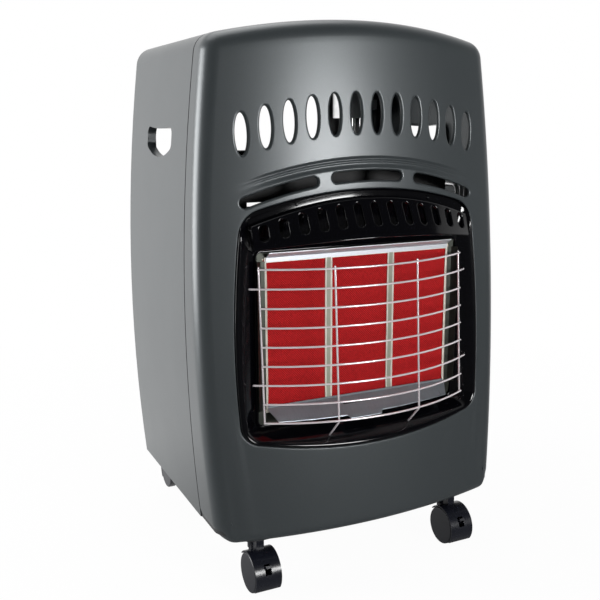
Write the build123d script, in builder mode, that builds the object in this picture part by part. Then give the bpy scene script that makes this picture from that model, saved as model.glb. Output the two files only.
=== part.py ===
from build123d import *
from math import asin, cos, degrees, hypot, radians, sin, sqrt, tan
import os

os.makedirs("parts", exist_ok=True)

# Portable gas cabinet heater. Millimetres, +Z up, front towards -Y, floor at Z 0,
# origin under the middle of the heater's footprint.

# cabinet
cabinet_width = 457.0
cabinet_height = 741.0
widest_height = 349.0
side_radius = 2667.0
top_radius = 938.0
top_corner_radius = 27.0
front_bottom = 80.0
casing_bottom = 92.0
foot_radius = 12.0
front_radius = 800.0
front_lean = 3.7
front_foot_y = -213.3
front_edge_radius = 24.0
rear_y = 163.0
rear_edge_radius = 10.0
sheet = 1.2
seam_y = -118.5
seam_lean = 0.7
seam_gap = 3.0
bottom_lip = 16.0
fit_gap = 0.05

# air slots of the front panel
slot_count = 12
slot_pitch = 30.1
slot_width = 15.0
slot_height = 51.0
slot_crest_z = 626.0
slot_arc_radius = 557.0
louvre_crest_z = 548.0
louvre_arc_radius = 469.0
louvre_height = 13.0
louvre_middle_reach = 45.0
louvre_outer_start = 77.0
louvre_outer_end = 164.5

# hand holes in the sides
hand_hole_length = 112.0
hand_hole_side = 28.0
hand_hole_sag = 4.0
hand_hole_belly = 14.0
hand_hole_radius = 10.0
hand_hole_y = 12.0
hand_hole_top_z = 611.0
grip_lip_depth = 12.0

# surround of the burner
burner_y = -163.0
surround_half_width = 185.0
surround_widest_z = 320.0
surround_side_radius = 1236.0
surround_crest_z = 531.0
surround_top_radius = 523.0
surround_low_z = 193.8
surround_bottom_radius = 800.0
surround_top_corner = 38.0
surround_bottom_corner = 27.0
groove_depth = 8.0
ring_proud = 2.0
mouth_half_width = 152.0
mouth_low_z = 226.0
mouth_high_z = 457.0
mouth_corner = 8.0
flare_run = 80.0
flare_side = 96.0
flare_low = 45.0
flare_high = 149.0
flare_corner = 60.0
surround_flange = 9.0
panel_gap = 0.3
mouth_return = 9.0

# visor
visor_reach = 160.0
visor_crest = (-194.0, 520.5)
visor_crest_end = (-174.5, 490.0)
visor_edge = (-220.0, 472.0)
visor_edge_end = (-184.0, 460.5)
visor_slot_count = 13
visor_slot_pitch = 24.4
visor_slot_width = 12.0
visor_screw_x = 97.5
visor_screw_z = 514.5
visor_flange = 7.5
visor_return = 5.0
visor_slot_mid = 0.40
visor_slot_share = 0.60
visor_stations = 9
seat_gap = 0.15
screw_radius = 1.9

# ceramic burner
plaque_width = 92.0
plaque_height = 200.0
plaque_thickness = 13.0
plaque_joint = 2.5
burner_mid_z = 346.0
window_width = 84.0
window_height = 191.4
burner_box_depth = 44.0
box_sheet = 1.5
venturi_radius = 11.0
venturi_y = -133.0
venturi_foot_z = 190.0
injector_z = 155.0

# wire guard
wire_radius = 1.3
guard_rows = 9
guard_top_z = 435.8
guard_bottom_z = 239.0
guard_half_width = 152.0
guard_crown_top_y = -216.5
guard_crown_bottom_y = -228.3
guard_end_top_y = -175.0
guard_end_bottom_y = -188.6
guard_inner_x = 61.5
guard_tail = 12.0
guard_tail_rows = (1, 6)
guard_hole_play = 0.4
hook_length = 38.0
hook_drop = 4.0
weld_depth = 0.3

# base tray, rear cover, heat shield
tray_floor_z = 72.0
tray_half_width = cabinet_width / 2 - 40.5
tray_front_y = -178.0
tray_rear_y = 206.0
tray_bulge = 8.0
tray_corner = 34.0
tray_sheet = 1.5
tray_lip_z = 112.0
cover_top_z = 470.0
cover_foot_z = 81.0
cover_flange_half = cabinet_width / 2 - 29.5
rear_opening_half = cabinet_width / 2 - 50.5
rear_opening_top = 690.0
shield_y = -107.0
shield_half_width = tray_half_width - 16
shield_top_z = 580.0

# casters
caster_x = tray_half_width - 34
caster_front_y = -152.0
caster_rear_y = 180.0
caster_trail = 20.5
wheel_radius = 27.0
wheel_inner_x = 6.0
wheel_outer_x = 18.5
hood_radius = 29.5
hood_clearance = 0.9
web_half = 5.5
stem_radius = 3.5
stem_play = 0.08
axle_radius = 3.0
axle_play = 0.06
stem_collar = 1.6
stem_foot_z = 34.0
hood_foot_z = 9.0
hood_back_z = 46.0
web_foot_z = 11.0
lock_half = 4.0
lock_pin_radius = 1.5
lock_pin_reach = 19.0
lock_angle = 32.0
lock_reach = 4.5

# seats of the inner pieces
tray_deck_z = 94.0
bottle_y = 50.0
bottle_ring_radius = 101.0
shield_foot = 18.0
stem_peg_radius = 5.0
cover_gap = 0.3
cover_lip = 5.0
cover_flange_z = 98.0
cover_flange_rise = 8.0
rail_z = 164.0
rail_half_x = 122.0
rail_depth = 34.0
injector_neck_radius = 4.0
injector_hex = 7.5

# controls
valve_port_x = cabinet_width / 2 - 86.5
valve_port_pitch = 14.0
valve_port_y = 112.0
valve_low_z = 620.0
valve_front_y = 104.0
valve_rear_y = 146.0
inlet_x = valve_port_x + 34
inlet_y = 124.0
inlet_radius = 4.5
inlet_length = 22.0
control_plate_y = 160.4
shaft_radius = 4.0
shaft_depth = 22.0
tube_side_x = cabinet_width / 2 - 38.5
tube_high_z = 545.0
tube_lane = 10.5
tray_screw_z = 103.0
tray_screw_x = cabinet_width / 2 - 24
plate_screw_x = cabinet_width / 2 - 42.5
plate_screw_z = (580.0, 670.0)
knob_x = valve_port_x
plate_left_x = knob_x - 28
plate_right_x = cabinet_width / 2 - 36.5
plate_low_z = 556.0
plate_high_z = 702.0
knob_z = 642.0
knob_radius = 19.0
knob_height = 18.0
knob_push = 4.0
button_z = 590.0
button_radius = 7.0
igniter_radius = 9.0
knob_base_y = 167.2
pilot_shelf_z = 227.0
pilot_x = -4.5
pilot_length = 45.0
tray_slot_x = 13.0
tray_slot_length = 108.0
tube_radius = 3.0
tube_bend = 9.0

lean = radians(front_lean)
front_axis_y = front_foot_y - front_bottom * tan(lean) + front_radius / cos(lean)


def front_y(x, z, inset=0.0):
    """Y of the leaning cylindrical front face, moved inwards by inset."""
    return front_axis_y + z * tan(lean) - sqrt((front_radius - inset) ** 2 - x * x) / cos(lean)


def side_x(z, inset=0.0):
    """Half width of the barrel-shaped cabinet at height z."""
    reach = sqrt((side_radius - inset) ** 2 - (z - widest_height) ** 2)
    return cabinet_width / 2 - side_radius + reach


def cabinet_outline(inset, bottom, foot):
    """Front view of the cabinet: two side arcs, the crowned top and the bottom line."""
    with BuildSketch(Plane.XZ.offset(inset - rear_y)) as outline:
        with Locations((cabinet_width / 2 - side_radius, widest_height)):
            Circle(side_radius - inset)
        with Locations((side_radius - cabinet_width / 2, widest_height)):
            Circle(side_radius - inset, mode=Mode.INTERSECT)
        with Locations((0, cabinet_height - top_radius)):
            Circle(top_radius - inset, mode=Mode.INTERSECT)
        with Locations((0, bottom)):
            Rectangle(2 * cabinet_width, cabinet_height, align=(Align.CENTER, Align.MIN),
                      mode=Mode.INTERSECT)
        fillet(outline.vertices().sort_by(Axis.Y)[-2:], top_corner_radius - inset)
        if foot > 0:
            fillet(outline.vertices().sort_by(Axis.Y)[:2], foot)
    return outline.sketch


def cabinet_block(inset, bottom):
    """Solid of the whole cabinet, drawn in by inset, with its rolled front and rear edges."""
    with BuildPart() as block:
        add(cabinet_outline(inset, bottom, 0))
        extrude(amount=rear_y - inset + 270, dir=(0, -1, 0))
        with BuildSketch(Plane(origin=(0, front_axis_y - 100 * tan(lean), -100), x_dir=(1, 0, 0),
                               z_dir=(0, sin(lean), cos(lean)))):
            Circle(front_radius - inset)
        extrude(amount=1000, mode=Mode.INTERSECT)
        face = block.faces().sort_by(Axis.Y)[0]
        fillet(face.edges().sort_by(Axis.Z)[1:], front_edge_radius - inset)
        if inset < rear_edge_radius:
            back = block.faces().sort_by(Axis.Y)[-1]
            fillet(back.edges().sort_by(Axis.Z)[1:], rear_edge_radius - inset)
    return block.part


def surround_outline(grow):
    """Front view of the burner surround, grown outwards by grow."""
    with BuildSketch(Plane.XZ) as outline:
        with Locations((surround_half_width - surround_side_radius, surround_widest_z)):
            Circle(surround_side_radius + grow)
        with Locations((surround_side_radius - surround_half_width, surround_widest_z)):
            Circle(surround_side_radius + grow, mode=Mode.INTERSECT)
        with Locations((0, surround_crest_z - surround_top_radius)):
            Circle(surround_top_radius + grow, mode=Mode.INTERSECT)
        with Locations((0, surround_low_z + surround_bottom_radius)):
            Circle(surround_bottom_radius + grow, mode=Mode.INTERSECT)
        fillet(outline.vertices().sort_by(Axis.Y)[-2:], surround_top_corner + grow)
        fillet(outline.vertices().sort_by(Axis.Y)[:2], surround_bottom_corner + grow)
    return outline.sketch


def surround_prism(grow):
    """The surround outline run forwards through the front panel."""
    with BuildPart() as prism:
        add(surround_outline(grow))
        extrude(amount=270, dir=(0, -1, 0))
    return prism.part


def mouth_block(grow):
    """The flared opening of the surround, from the burner plane forwards."""
    with BuildPart() as mouth:
        with BuildSketch(Plane.XZ.offset(-burner_y)):
            with Locations((0, (mouth_low_z + mouth_high_z) / 2)):
                RectangleRounded(2 * (mouth_half_width + grow),
                                 mouth_high_z - mouth_low_z + 2 * grow, mouth_corner + grow)
        with BuildSketch(Plane.XZ.offset(-burner_y + flare_run)):
            with Locations((0, (mouth_low_z - flare_low + mouth_high_z + flare_high) / 2)):
                RectangleRounded(2 * (mouth_half_width + flare_side + grow),
                                 mouth_high_z - mouth_low_z + flare_high + flare_low + 2 * grow,
                                 flare_corner + grow)
        loft()
    return mouth.part


def tray_outline(plane, grow):
    """Plan of the tray pan: straight sides, slightly bulged rear, rounded corners."""
    length = tray_rear_y + tray_bulge - tray_front_y
    bulge_radius = (tray_half_width ** 2 + tray_bulge ** 2) / (2 * tray_bulge)
    with BuildSketch(plane) as outline:
        with Locations((0, tray_front_y - grow)):
            Rectangle(2 * (tray_half_width + grow), length + 2 * grow,
                      align=(Align.CENTER, Align.MIN))
        with Locations((0, tray_rear_y + tray_bulge - bulge_radius)):
            Circle(bulge_radius + grow, mode=Mode.INTERSECT)
        fillet(outline.vertices(), tray_corner + grow)
    return outline.sketch


def cabinet_layer(outer, inner, bottom, inner_bottom):
    """Sheet between two insets of the cabinet block."""
    with BuildPart() as layer:
        add(cabinet_block(outer, bottom))
        add(cabinet_block(inner, inner_bottom), mode=Mode.SUBTRACT)
    return layer.part


def hand_hole(grow):
    """Outline of a hand hole in side view, grown outwards. Its upper edge sags in the middle and
    its lower edge is one wide arc."""
    front = hand_hole_y - hand_hole_length / 2 - grow
    rear = hand_hole_y + hand_hole_length / 2 + grow
    upper = hand_hole_top_z + grow
    lower = hand_hole_top_z - hand_hole_side - grow
    with BuildSketch(Plane.YZ.offset(-cabinet_width)) as hole:
        with BuildLine():
            ThreePointArc((front, upper), (hand_hole_y, upper - hand_hole_sag), (rear, upper))
            Line((rear, upper), (rear, lower))
            ThreePointArc((rear, lower), (hand_hole_y, lower - hand_hole_belly), (front, lower))
            Line((front, lower), (front, upper))
        make_face()
        fillet(hole.vertices(), hand_hole_radius + grow)
    return hole.sketch


def slice_along(part, near, far):
    """Piece of a part between two offsets of the seam plane, counted towards the front."""
    with BuildPart() as piece:
        add(part)
        split(bisect_by=seam_plane.offset(far), keep=Keep.BOTTOM)
        split(bisect_by=seam_plane.offset(near), keep=Keep.TOP)
    return piece.part


def guard_z(row):
    """Height of a horizontal guard wire, row 0 at the top."""
    return guard_top_z + row * (guard_bottom_z - guard_top_z) / (guard_rows - 1)


def guard_share(z):
    """0 at the top wire of the guard, 1 at the bottom wire."""
    return (guard_top_z - z) / (guard_top_z - guard_bottom_z)


def guard_end_y(z):
    """Y of the guard's end uprights at height z."""
    return guard_end_top_y + guard_share(z) * (guard_end_bottom_y - guard_end_top_y)


def guard_crown_y(z):
    """Y of the foremost point of a horizontal wire at height z."""
    return guard_crown_top_y + guard_share(z) * (guard_crown_bottom_y - guard_crown_top_y)


def guard_y(x, z):
    """Y on the bowed guard surface: a circular arc in plan through both ends and the crown."""
    sag = guard_end_y(z) - guard_crown_y(z)
    radius = (guard_half_width ** 2 + sag ** 2) / (2 * sag)
    return guard_crown_y(z) + radius - sqrt(radius ** 2 - x ** 2)


def visor_crest_at(x):
    """(Y, Z) of the visor's upper bend at x."""
    share = (x / visor_reach) ** 2
    return (visor_crest[0] + share * (visor_crest_end[0] - visor_crest[0]),
            visor_crest[1] + share * (visor_crest_end[1] - visor_crest[1]))


def visor_edge_at(x):
    """(Y, Z) of the visor's lower front edge at x."""
    share = (x / visor_reach) ** 2
    return (visor_edge[0] + share * (visor_edge_end[0] - visor_edge[0]),
            visor_edge[1] + share * (visor_edge_end[1] - visor_edge[1]))


def visor_profile(x):
    """Section of the visor at x: flange in the groove, wall to the crest, slope, returned edge."""
    (crest_y, crest_z), (edge_y, edge_z) = visor_crest_at(x), visor_edge_at(x)
    floor = front_y(x, crest_z, groove_depth) - seat_gap
    top = front_y(x, crest_z + visor_flange, groove_depth) - seat_gap
    lip = edge_y + visor_return
    return [(top - sheet, crest_z + visor_flange), (floor - sheet, crest_z), (crest_y, crest_z),
            (edge_y, edge_z), (lip, edge_z - 1), (lip, edge_z - 1 + sheet),
            (edge_y + sheet, edge_z + sheet), (crest_y + sheet, crest_z - sheet),
            (floor, crest_z - sheet), (top, crest_z + visor_flange)]


def guard_normal(x, z):
    """Plan direction pointing backwards from the bowed guard surface."""
    sag = guard_end_y(z) - guard_crown_y(z)
    radius = (guard_half_width ** 2 + sag ** 2) / (2 * sag)
    return (-x / radius, sqrt(radius ** 2 - x ** 2) / radius)


def guard_upright(x, z):
    """Centre of an upright wire welded behind the horizontal wires."""
    nx, ny = guard_normal(x, z)
    step = 2 * wire_radius - weld_depth
    return (x + step * nx, guard_y(x, z) + step * ny, z)


def tail_direction(side, z):
    """Direction in which a horizontal wire runs on past its end upright."""
    nx, ny = guard_normal(guard_half_width, z)
    return (side * ny, -nx, 0)


def visor_screw_plane(side):
    """Plane of the groove floor under a visor screw, facing out of the cabinet."""
    x = side * visor_screw_x
    out = sqrt(1 - (x / front_radius) ** 2)
    return Plane(origin=(x, front_y(x, visor_screw_z, groove_depth), visor_screw_z),
                 z_dir=(x / front_radius, -out * cos(lean), out * sin(lean)))


hook_z = guard_bottom_z - hook_drop
seam_plane = Plane(origin=(0, seam_y, 0), x_dir=(1, 0, 0),
                   z_dir=(0, -cos(radians(seam_lean)), sin(radians(seam_lean))))
cabinet_skin = cabinet_layer(0, sheet, front_bottom, front_bottom + sheet)
inner_skin = cabinet_layer(sheet + fit_gap, 2 * sheet + fit_gap, tray_lip_z + 0.5,
                           front_bottom)


# front panel: deep-drawn sheet with its air slots and the burner opening
with BuildPart() as front_panel:
    add(cabinet_outline(0, front_bottom, foot_radius))
    extrude(amount=rear_y + 270, dir=(0, -1, 0))
    add(cabinet_skin, mode=Mode.INTERSECT)
    add(cabinet_block(bottom_lip, front_bottom - 10), mode=Mode.SUBTRACT)
    split(bisect_by=seam_plane, keep=Keep.TOP)
    with BuildSketch(Plane.XZ):
        for i in range(slot_count):
            slot_x = (i - (slot_count - 1) / 2) * slot_pitch
            with Locations((slot_x, slot_crest_z - slot_x ** 2 / (2 * slot_arc_radius))):
                Ellipse(slot_width / 2, slot_height / 2)
    extrude(amount=270, mode=Mode.SUBTRACT)
    middle_turn = degrees(asin(louvre_middle_reach / louvre_arc_radius))
    outer_from = degrees(asin(louvre_outer_start / louvre_arc_radius))
    outer_to = degrees(asin(louvre_outer_end / louvre_arc_radius))
    louvre_centre = (0, louvre_crest_z - louvre_arc_radius)
    with BuildSketch(Plane.XZ):
        SlotArc(CenterArc(louvre_centre, louvre_arc_radius, 90 - middle_turn, 2 * middle_turn),
                louvre_height)
        SlotArc(CenterArc(louvre_centre, louvre_arc_radius, 90 - outer_to, outer_to - outer_from),
                louvre_height)
        SlotArc(CenterArc(louvre_centre, louvre_arc_radius, 90 + outer_from,
                          outer_to - outer_from), louvre_height)
    extrude(amount=270, mode=Mode.SUBTRACT)
    add(surround_prism(0), mode=Mode.SUBTRACT)
front_panel.part.label = "front_panel"
export_step(front_panel.part, "parts/front_panel.step")

# lips turned inwards round the hand holes
with BuildPart() as grip_lips:
    add(hand_hole(sheet))
    extrude(amount=2 * cabinet_width, dir=(1, 0, 0))
    add(hand_hole(0))
    extrude(amount=2 * cabinet_width, dir=(1, 0, 0), mode=Mode.SUBTRACT)
    add(cabinet_layer(sheet / 2, grip_lip_depth, front_bottom, front_bottom - 10),
        mode=Mode.INTERSECT)

# casing: one folded sheet for both sides and the crowned top, joggled into the front panel
with BuildPart() as casing:
    add(cabinet_skin)
    split(bisect_by=seam_plane.offset(-seam_gap), keep=Keep.BOTTOM)
    add(slice_along(inner_skin, -7, 9))
    add(slice_along(cabinet_layer(sheet - 0.2, 2 * sheet + fit_gap, tray_lip_z + 0.5,
                                  front_bottom), -7, -4))
    with BuildSketch(Plane.XZ):
        Rectangle(2 * rear_opening_half, 2 * rear_opening_top)
    extrude(amount=-(rear_y + 20), mode=Mode.SUBTRACT)
    with Locations((0, 0, casing_bottom)):
        Box(600, 800, 400, align=(Align.CENTER, Align.CENTER, Align.MAX), mode=Mode.SUBTRACT)
    add(tray_outline(Plane.XY.offset(casing_bottom - 20), panel_gap))
    extrude(amount=tray_deck_z + panel_gap - casing_bottom + 20, dir=(0, 0, 1),
            mode=Mode.SUBTRACT)
    add(hand_hole(0))
    extrude(amount=2 * cabinet_width, dir=(1, 0, 0), mode=Mode.SUBTRACT)
    add(grip_lips.part)
    for x in (-tray_screw_x, tray_screw_x):
        with Locations(Plane(origin=(x, rear_y, tray_screw_z), z_dir=(0, 1, 0))):
            Cylinder(screw_radius + fit_gap, 10, mode=Mode.SUBTRACT)
    for z in plate_screw_z:
        with Locations(Plane(origin=(plate_screw_x, rear_y, z), z_dir=(0, 1, 0))):
            Cylinder(screw_radius + fit_gap, 10, mode=Mode.SUBTRACT)
casing.part.label = "casing"
export_step(casing.part, "parts/casing.step")

# burner surround: step wall, groove floor, raised ring and flared mouth in one pressing
with BuildPart() as surround_step:
    add(surround_prism(-panel_gap))
    add(surround_prism(-panel_gap - sheet), mode=Mode.SUBTRACT)
    add(cabinet_layer(0, groove_depth + sheet, front_bottom - 20, front_bottom - 30),
        mode=Mode.INTERSECT)

with BuildPart() as surround_mouth:
    add(mouth_block(sheet))
    add(mouth_block(0), mode=Mode.SUBTRACT)
    add(cabinet_block(-ring_proud, front_bottom - 30), mode=Mode.INTERSECT)

with BuildPart() as surround_rim:
    add(surround_prism(surround_flange))
    add(surround_prism(-panel_gap - sheet), mode=Mode.SUBTRACT)
    add(cabinet_layer(sheet + fit_gap, 2 * sheet + fit_gap, front_bottom - 20,
                      front_bottom - 30), mode=Mode.INTERSECT)

with BuildPart() as burner_surround:
    add(surround_prism(-panel_gap))
    add(cabinet_layer(groove_depth, groove_depth + sheet, front_bottom - 20,
                      front_bottom - 30), mode=Mode.INTERSECT)
    add(surround_step.part)
    add(surround_rim.part)
    add(mouth_block(sheet / 2), mode=Mode.SUBTRACT)
    add(surround_mouth.part)
    with BuildSketch(Plane.XZ.offset(-burner_y)):
        with Locations((0, (mouth_low_z + mouth_high_z) / 2)):
            RectangleRounded(2 * (mouth_half_width + mouth_return),
                             mouth_high_z - mouth_low_z + 2 * mouth_return,
                             mouth_corner + mouth_return)
            RectangleRounded(2 * mouth_half_width, mouth_high_z - mouth_low_z, mouth_corner,
                             mode=Mode.SUBTRACT)
    extrude(amount=-sheet)
    for side in (-1, 1):
        for row in guard_tail_rows:
            z = guard_z(row)
            with Locations(Plane(origin=(side * guard_half_width, guard_end_y(z), z),
                                 z_dir=tail_direction(side, z))):
                Cylinder(wire_radius + guard_hole_play, 3 * guard_tail, mode=Mode.SUBTRACT)
        with Locations(Plane(origin=guard_upright(side * guard_inner_x, hook_z),
                             z_dir=(0, 1, -1))):
            Cylinder(wire_radius + guard_hole_play, 3 * hook_length, mode=Mode.SUBTRACT)
        with Locations(visor_screw_plane(side)):
            Cylinder(screw_radius + fit_gap, 12, mode=Mode.SUBTRACT)
burner_surround.part.label = "burner_surround"
export_step(burner_surround.part, "parts/burner_surround.step")

# visor: louvred hood over the mouth, its flange screwed into the surround's groove
with BuildPart() as visor:
    for i in range(visor_stations):
        x = visor_reach * (2 * i / (visor_stations - 1) - 1)
        with BuildSketch(Plane(origin=(x, 0, 0), x_dir=(0, 1, 0), z_dir=(1, 0, 0))):
            with BuildLine():
                Polyline(*visor_profile(x), close=True)
            make_face()
    loft()
    for i in range(visor_slot_count):
        slot_x = (i - (visor_slot_count - 1) / 2) * visor_slot_pitch
        crest, edge = visor_crest_at(slot_x), visor_edge_at(slot_x)
        fall = (edge[0] - crest[0], edge[1] - crest[1])
        slope = hypot(*fall)
        middle = (slot_x, crest[0] + visor_slot_mid * fall[0], crest[1] + visor_slot_mid * fall[1])
        with BuildSketch(Plane(origin=middle, x_dir=(0, fall[0], fall[1]),
                               z_dir=(0, -fall[1], fall[0]))):
            SlotOverall(visor_slot_share * slope, visor_slot_width)
        extrude(amount=9, both=True, mode=Mode.SUBTRACT)
    for side in (-1, 1):
        with Locations(visor_screw_plane(side)):
            Cylinder(screw_radius + 0.3, 12, mode=Mode.SUBTRACT)
visor.part.label = "visor"
export_step(visor.part, "parts/visor.step")

# visor screws
with BuildPart() as visor_screws:
    for side in (-1, 1):
        with Locations(visor_screw_plane(side)):
            with Locations((0, 0, 2 * seat_gap + sheet)):
                Cylinder(2 * screw_radius, 1.8, align=(Align.CENTER, Align.CENTER, Align.MIN))
                Cylinder(screw_radius, 8, align=(Align.CENTER, Align.CENTER, Align.MAX))
visor_screws.part.label = "visor_screws"
export_step(visor_screws.part, "parts/visor_screws.step")

# burner guard: nine bowed wires welded to four uprights
with BuildPart() as burner_guard:
    for row in range(guard_rows):
        z = guard_z(row)
        left, right = (-guard_half_width, guard_end_y(z), z), (guard_half_width, guard_end_y(z), z)
        with BuildLine() as path:
            ThreePointArc(left, (0, guard_crown_y(z), z), right)
            if row in guard_tail_rows:
                for side, end in ((-1, left), (1, right)):
                    ahead = tail_direction(side, z)
                    Line(end, tuple(p + guard_tail * q for p, q in zip(end, ahead)))
        wire = path.wires()[0]
        with BuildSketch(Plane(origin=wire @ 0, z_dir=wire % 0)):
            Circle(wire_radius)
        sweep(path=wire)
    for x in (-guard_half_width, guard_half_width):
        with BuildLine() as post:
            Line(guard_upright(x, guard_top_z + 2), guard_upright(x, guard_bottom_z - 1))
        with BuildSketch(Plane(origin=post.line @ 0, z_dir=post.line % 0)):
            Circle(wire_radius)
        sweep(path=post.line)
    for x in (-guard_inner_x, guard_inner_x):
        foot = guard_upright(x, hook_z)
        fall = hook_length / sqrt(2)
        with BuildLine() as post:
            FilletPolyline(guard_upright(x, guard_top_z + 2), foot,
                           (foot[0], foot[1] + fall, foot[2] - fall), radius=4)
        with BuildSketch(Plane(origin=post.line @ 0, z_dir=post.line % 0)):
            Circle(wire_radius)
        sweep(path=post.line)
burner_guard.part.label = "burner_guard"
export_step(burner_guard.part, "parts/burner_guard.step")

# ceramic plaques, side by side in the burner box
plaque_step = plaque_width + plaque_joint
for name, place in (("plaque_left", -1), ("plaque_centre", 0), ("plaque_right", 1)):
    with BuildPart() as plaque:
        with Locations((place * plaque_step, burner_y, burner_mid_z)):
            Box(plaque_width, plaque_thickness, plaque_height,
                align=(Align.CENTER, Align.MIN, Align.CENTER))
        fillet(plaque.edges().filter_by(Axis.Y), 1.5)
    plaque.part.label = name
    export_step(plaque.part, f"parts/{name}.step")

# ceramic fibre gasket around and between the plaques
gasket_half_x = 1.5 * plaque_width + plaque_joint + 0.8
gasket_half_z = plaque_height / 2 + 0.8
with BuildPart() as plaque_gasket:
    with BuildSketch(Plane.XZ.offset(-burner_y - 0.3)):
        with Locations((0, burner_mid_z)):
            Rectangle(2 * gasket_half_x, 2 * gasket_half_z)
        for place in (-1, 0, 1):
            with Locations((place * plaque_step, burner_mid_z)):
                Rectangle(plaque_width + 0.1, plaque_height + 0.1, mode=Mode.SUBTRACT)
    extrude(amount=-(plaque_thickness - 0.4))
plaque_gasket.part.label = "plaque_gasket"
export_step(plaque_gasket.part, "parts/plaque_gasket.step")

# burner box: three mixing chambers behind the plaques, each fed by a welded venturi tube
box_half_x = gasket_half_x + 0.1 + box_sheet
box_half_z = gasket_half_z + 0.1 + box_sheet
box_flange = 6.0
mixer_top_z = burner_mid_z - box_half_z + 6
throat_z = venturi_foot_z + 14
with BuildPart() as mixer_tube:
    with BuildSketch(Plane.XZ):
        with BuildLine():
            Polyline((venturi_radius + 3, venturi_foot_z), (venturi_radius - 3, throat_z),
                     (venturi_radius, mixer_top_z - 12), (venturi_radius, mixer_top_z),
                     (venturi_radius - sheet, mixer_top_z),
                     (venturi_radius - sheet, mixer_top_z - 12),
                     (venturi_radius - 3 - sheet, throat_z),
                     (venturi_radius + 3 - sheet, venturi_foot_z), close=True)
        make_face()
    revolve(axis=Axis.Z)

with BuildPart() as burner_box:
    with Locations((0, burner_y, burner_mid_z)):
        Box(2 * box_half_x, burner_box_depth, 2 * box_half_z,
            align=(Align.CENTER, Align.MIN, Align.CENTER))
        Box(2 * (box_half_x + box_flange), sheet, 2 * (box_half_z + box_flange),
            align=(Align.CENTER, Align.MIN, Align.CENTER))
        Box(2 * (gasket_half_x + 0.1), plaque_thickness, 2 * (gasket_half_z + 0.1),
            align=(Align.CENTER, Align.MIN, Align.CENTER), mode=Mode.SUBTRACT)
    for place in (-1, 0, 1):
        with Locations((place * plaque_step, burner_y + plaque_thickness, burner_mid_z)):
            Box(plaque_width - 8, burner_box_depth - plaque_thickness - box_sheet,
                plaque_height - 8, align=(Align.CENTER, Align.MIN, Align.CENTER),
                mode=Mode.SUBTRACT)
        with Locations((place * plaque_step, venturi_y, burner_mid_z - box_half_z)):
            Cylinder(venturi_radius - sheet / 2, 16, mode=Mode.SUBTRACT)
    with Locations(*[(place * plaque_step, venturi_y, 0) for place in (-1, 0, 1)]):
        add(mixer_tube.part)
burner_box.part.label = "burner_box"
export_step(burner_box.part, "parts/burner_box.step")

# retaining frame with three windows, clamping the plaques
with BuildPart() as plaque_frame:
    with BuildSketch(Plane.XZ.offset(-burner_y + 0.2)):
        with Locations((0, burner_mid_z)):
            RectangleRounded(2 * (box_half_x + box_flange), 2 * (box_half_z + box_flange), 3)
        for place in (-1, 0, 1):
            with Locations((place * plaque_step, burner_mid_z)):
                Rectangle(window_width, window_height, mode=Mode.SUBTRACT)
    extrude(amount=sheet)
plaque_frame.part.label = "plaque_frame"
export_step(plaque_frame.part, "parts/plaque_frame.step")

# mounting plate joining the burner box to the rear flange of the surround's mouth
mount_front_y = burner_y + sheet + seat_gap
with BuildPart() as burner_mount_plate:
    with BuildSketch(Plane.XZ.offset(-mount_front_y)):
        with Locations((0, (mouth_low_z + mouth_high_z) / 2)):
            RectangleRounded(2 * (mouth_half_width + mouth_return),
                             mouth_high_z - mouth_low_z + 2 * mouth_return, mouth_corner)
        with Locations((0, burner_mid_z)):
            Rectangle(2 * (box_half_x + 0.2), 2 * (box_half_z + 0.2), mode=Mode.SUBTRACT)
    extrude(amount=-sheet)
burner_mount_plate.part.label = "burner_mount_plate"
export_step(burner_mount_plate.part, "parts/burner_mount_plate.step")

# reflectors: polished strips over and beside the plaques and the sloping tray under them
frame_front_y = burner_y - 0.2 - sheet
frame_top_z = burner_mid_z + window_height / 2
frame_low_z = burner_mid_z - window_height / 2
with BuildPart() as top_reflector:
    with BuildSketch(Plane.YZ):
        with BuildLine():
            Polyline((frame_front_y - seat_gap, frame_top_z + 1),
                     (frame_front_y - seat_gap, frame_top_z + 7),
                     (frame_front_y - 11, frame_top_z + 14), (frame_front_y - 11, frame_top_z + 13),
                     (frame_front_y - seat_gap - 1, frame_top_z + 6.4),
                     (frame_front_y - seat_gap - 1, frame_top_z + 1), close=True)
        make_face()
    extrude(amount=137, both=True)
top_reflector.part.label = "top_reflector"
export_step(top_reflector.part, "parts/top_reflector.step")

with BuildPart() as deflector_tray:
    with BuildSketch(Plane.YZ):
        with BuildLine():
            Polyline((frame_front_y - seat_gap, frame_low_z - 0.5),
                     (frame_front_y - seat_gap - 1, frame_low_z - 0.5),
                     (frame_front_y - seat_gap - 1, frame_low_z - 3),
                     (frame_front_y - 27, frame_low_z - 21), (frame_front_y - 27, frame_low_z - 27),
                     (frame_front_y - 26, frame_low_z - 27), (frame_front_y - 26, frame_low_z - 22),
                     (frame_front_y - seat_gap, frame_low_z - 4), close=True)
        make_face()
    extrude(amount=137, both=True)
    with BuildSketch(Plane.XY.offset(frame_low_z + 5)):
        with BuildLine():
            Polyline((-137, frame_front_y - 4), (-137, frame_front_y - 40),
                     (-124, frame_front_y - 40), close=True)
        make_face()
        mirror(about=Plane.YZ)
    extrude(amount=-60, mode=Mode.SUBTRACT)
    with Locations((tray_slot_x, frame_front_y - 19, frame_low_z - 15)):
        Box(tray_slot_length, 8, 30, mode=Mode.SUBTRACT)
deflector_tray.part.label = "deflector_tray"
export_step(deflector_tray.part, "parts/deflector_tray.step")

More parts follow.
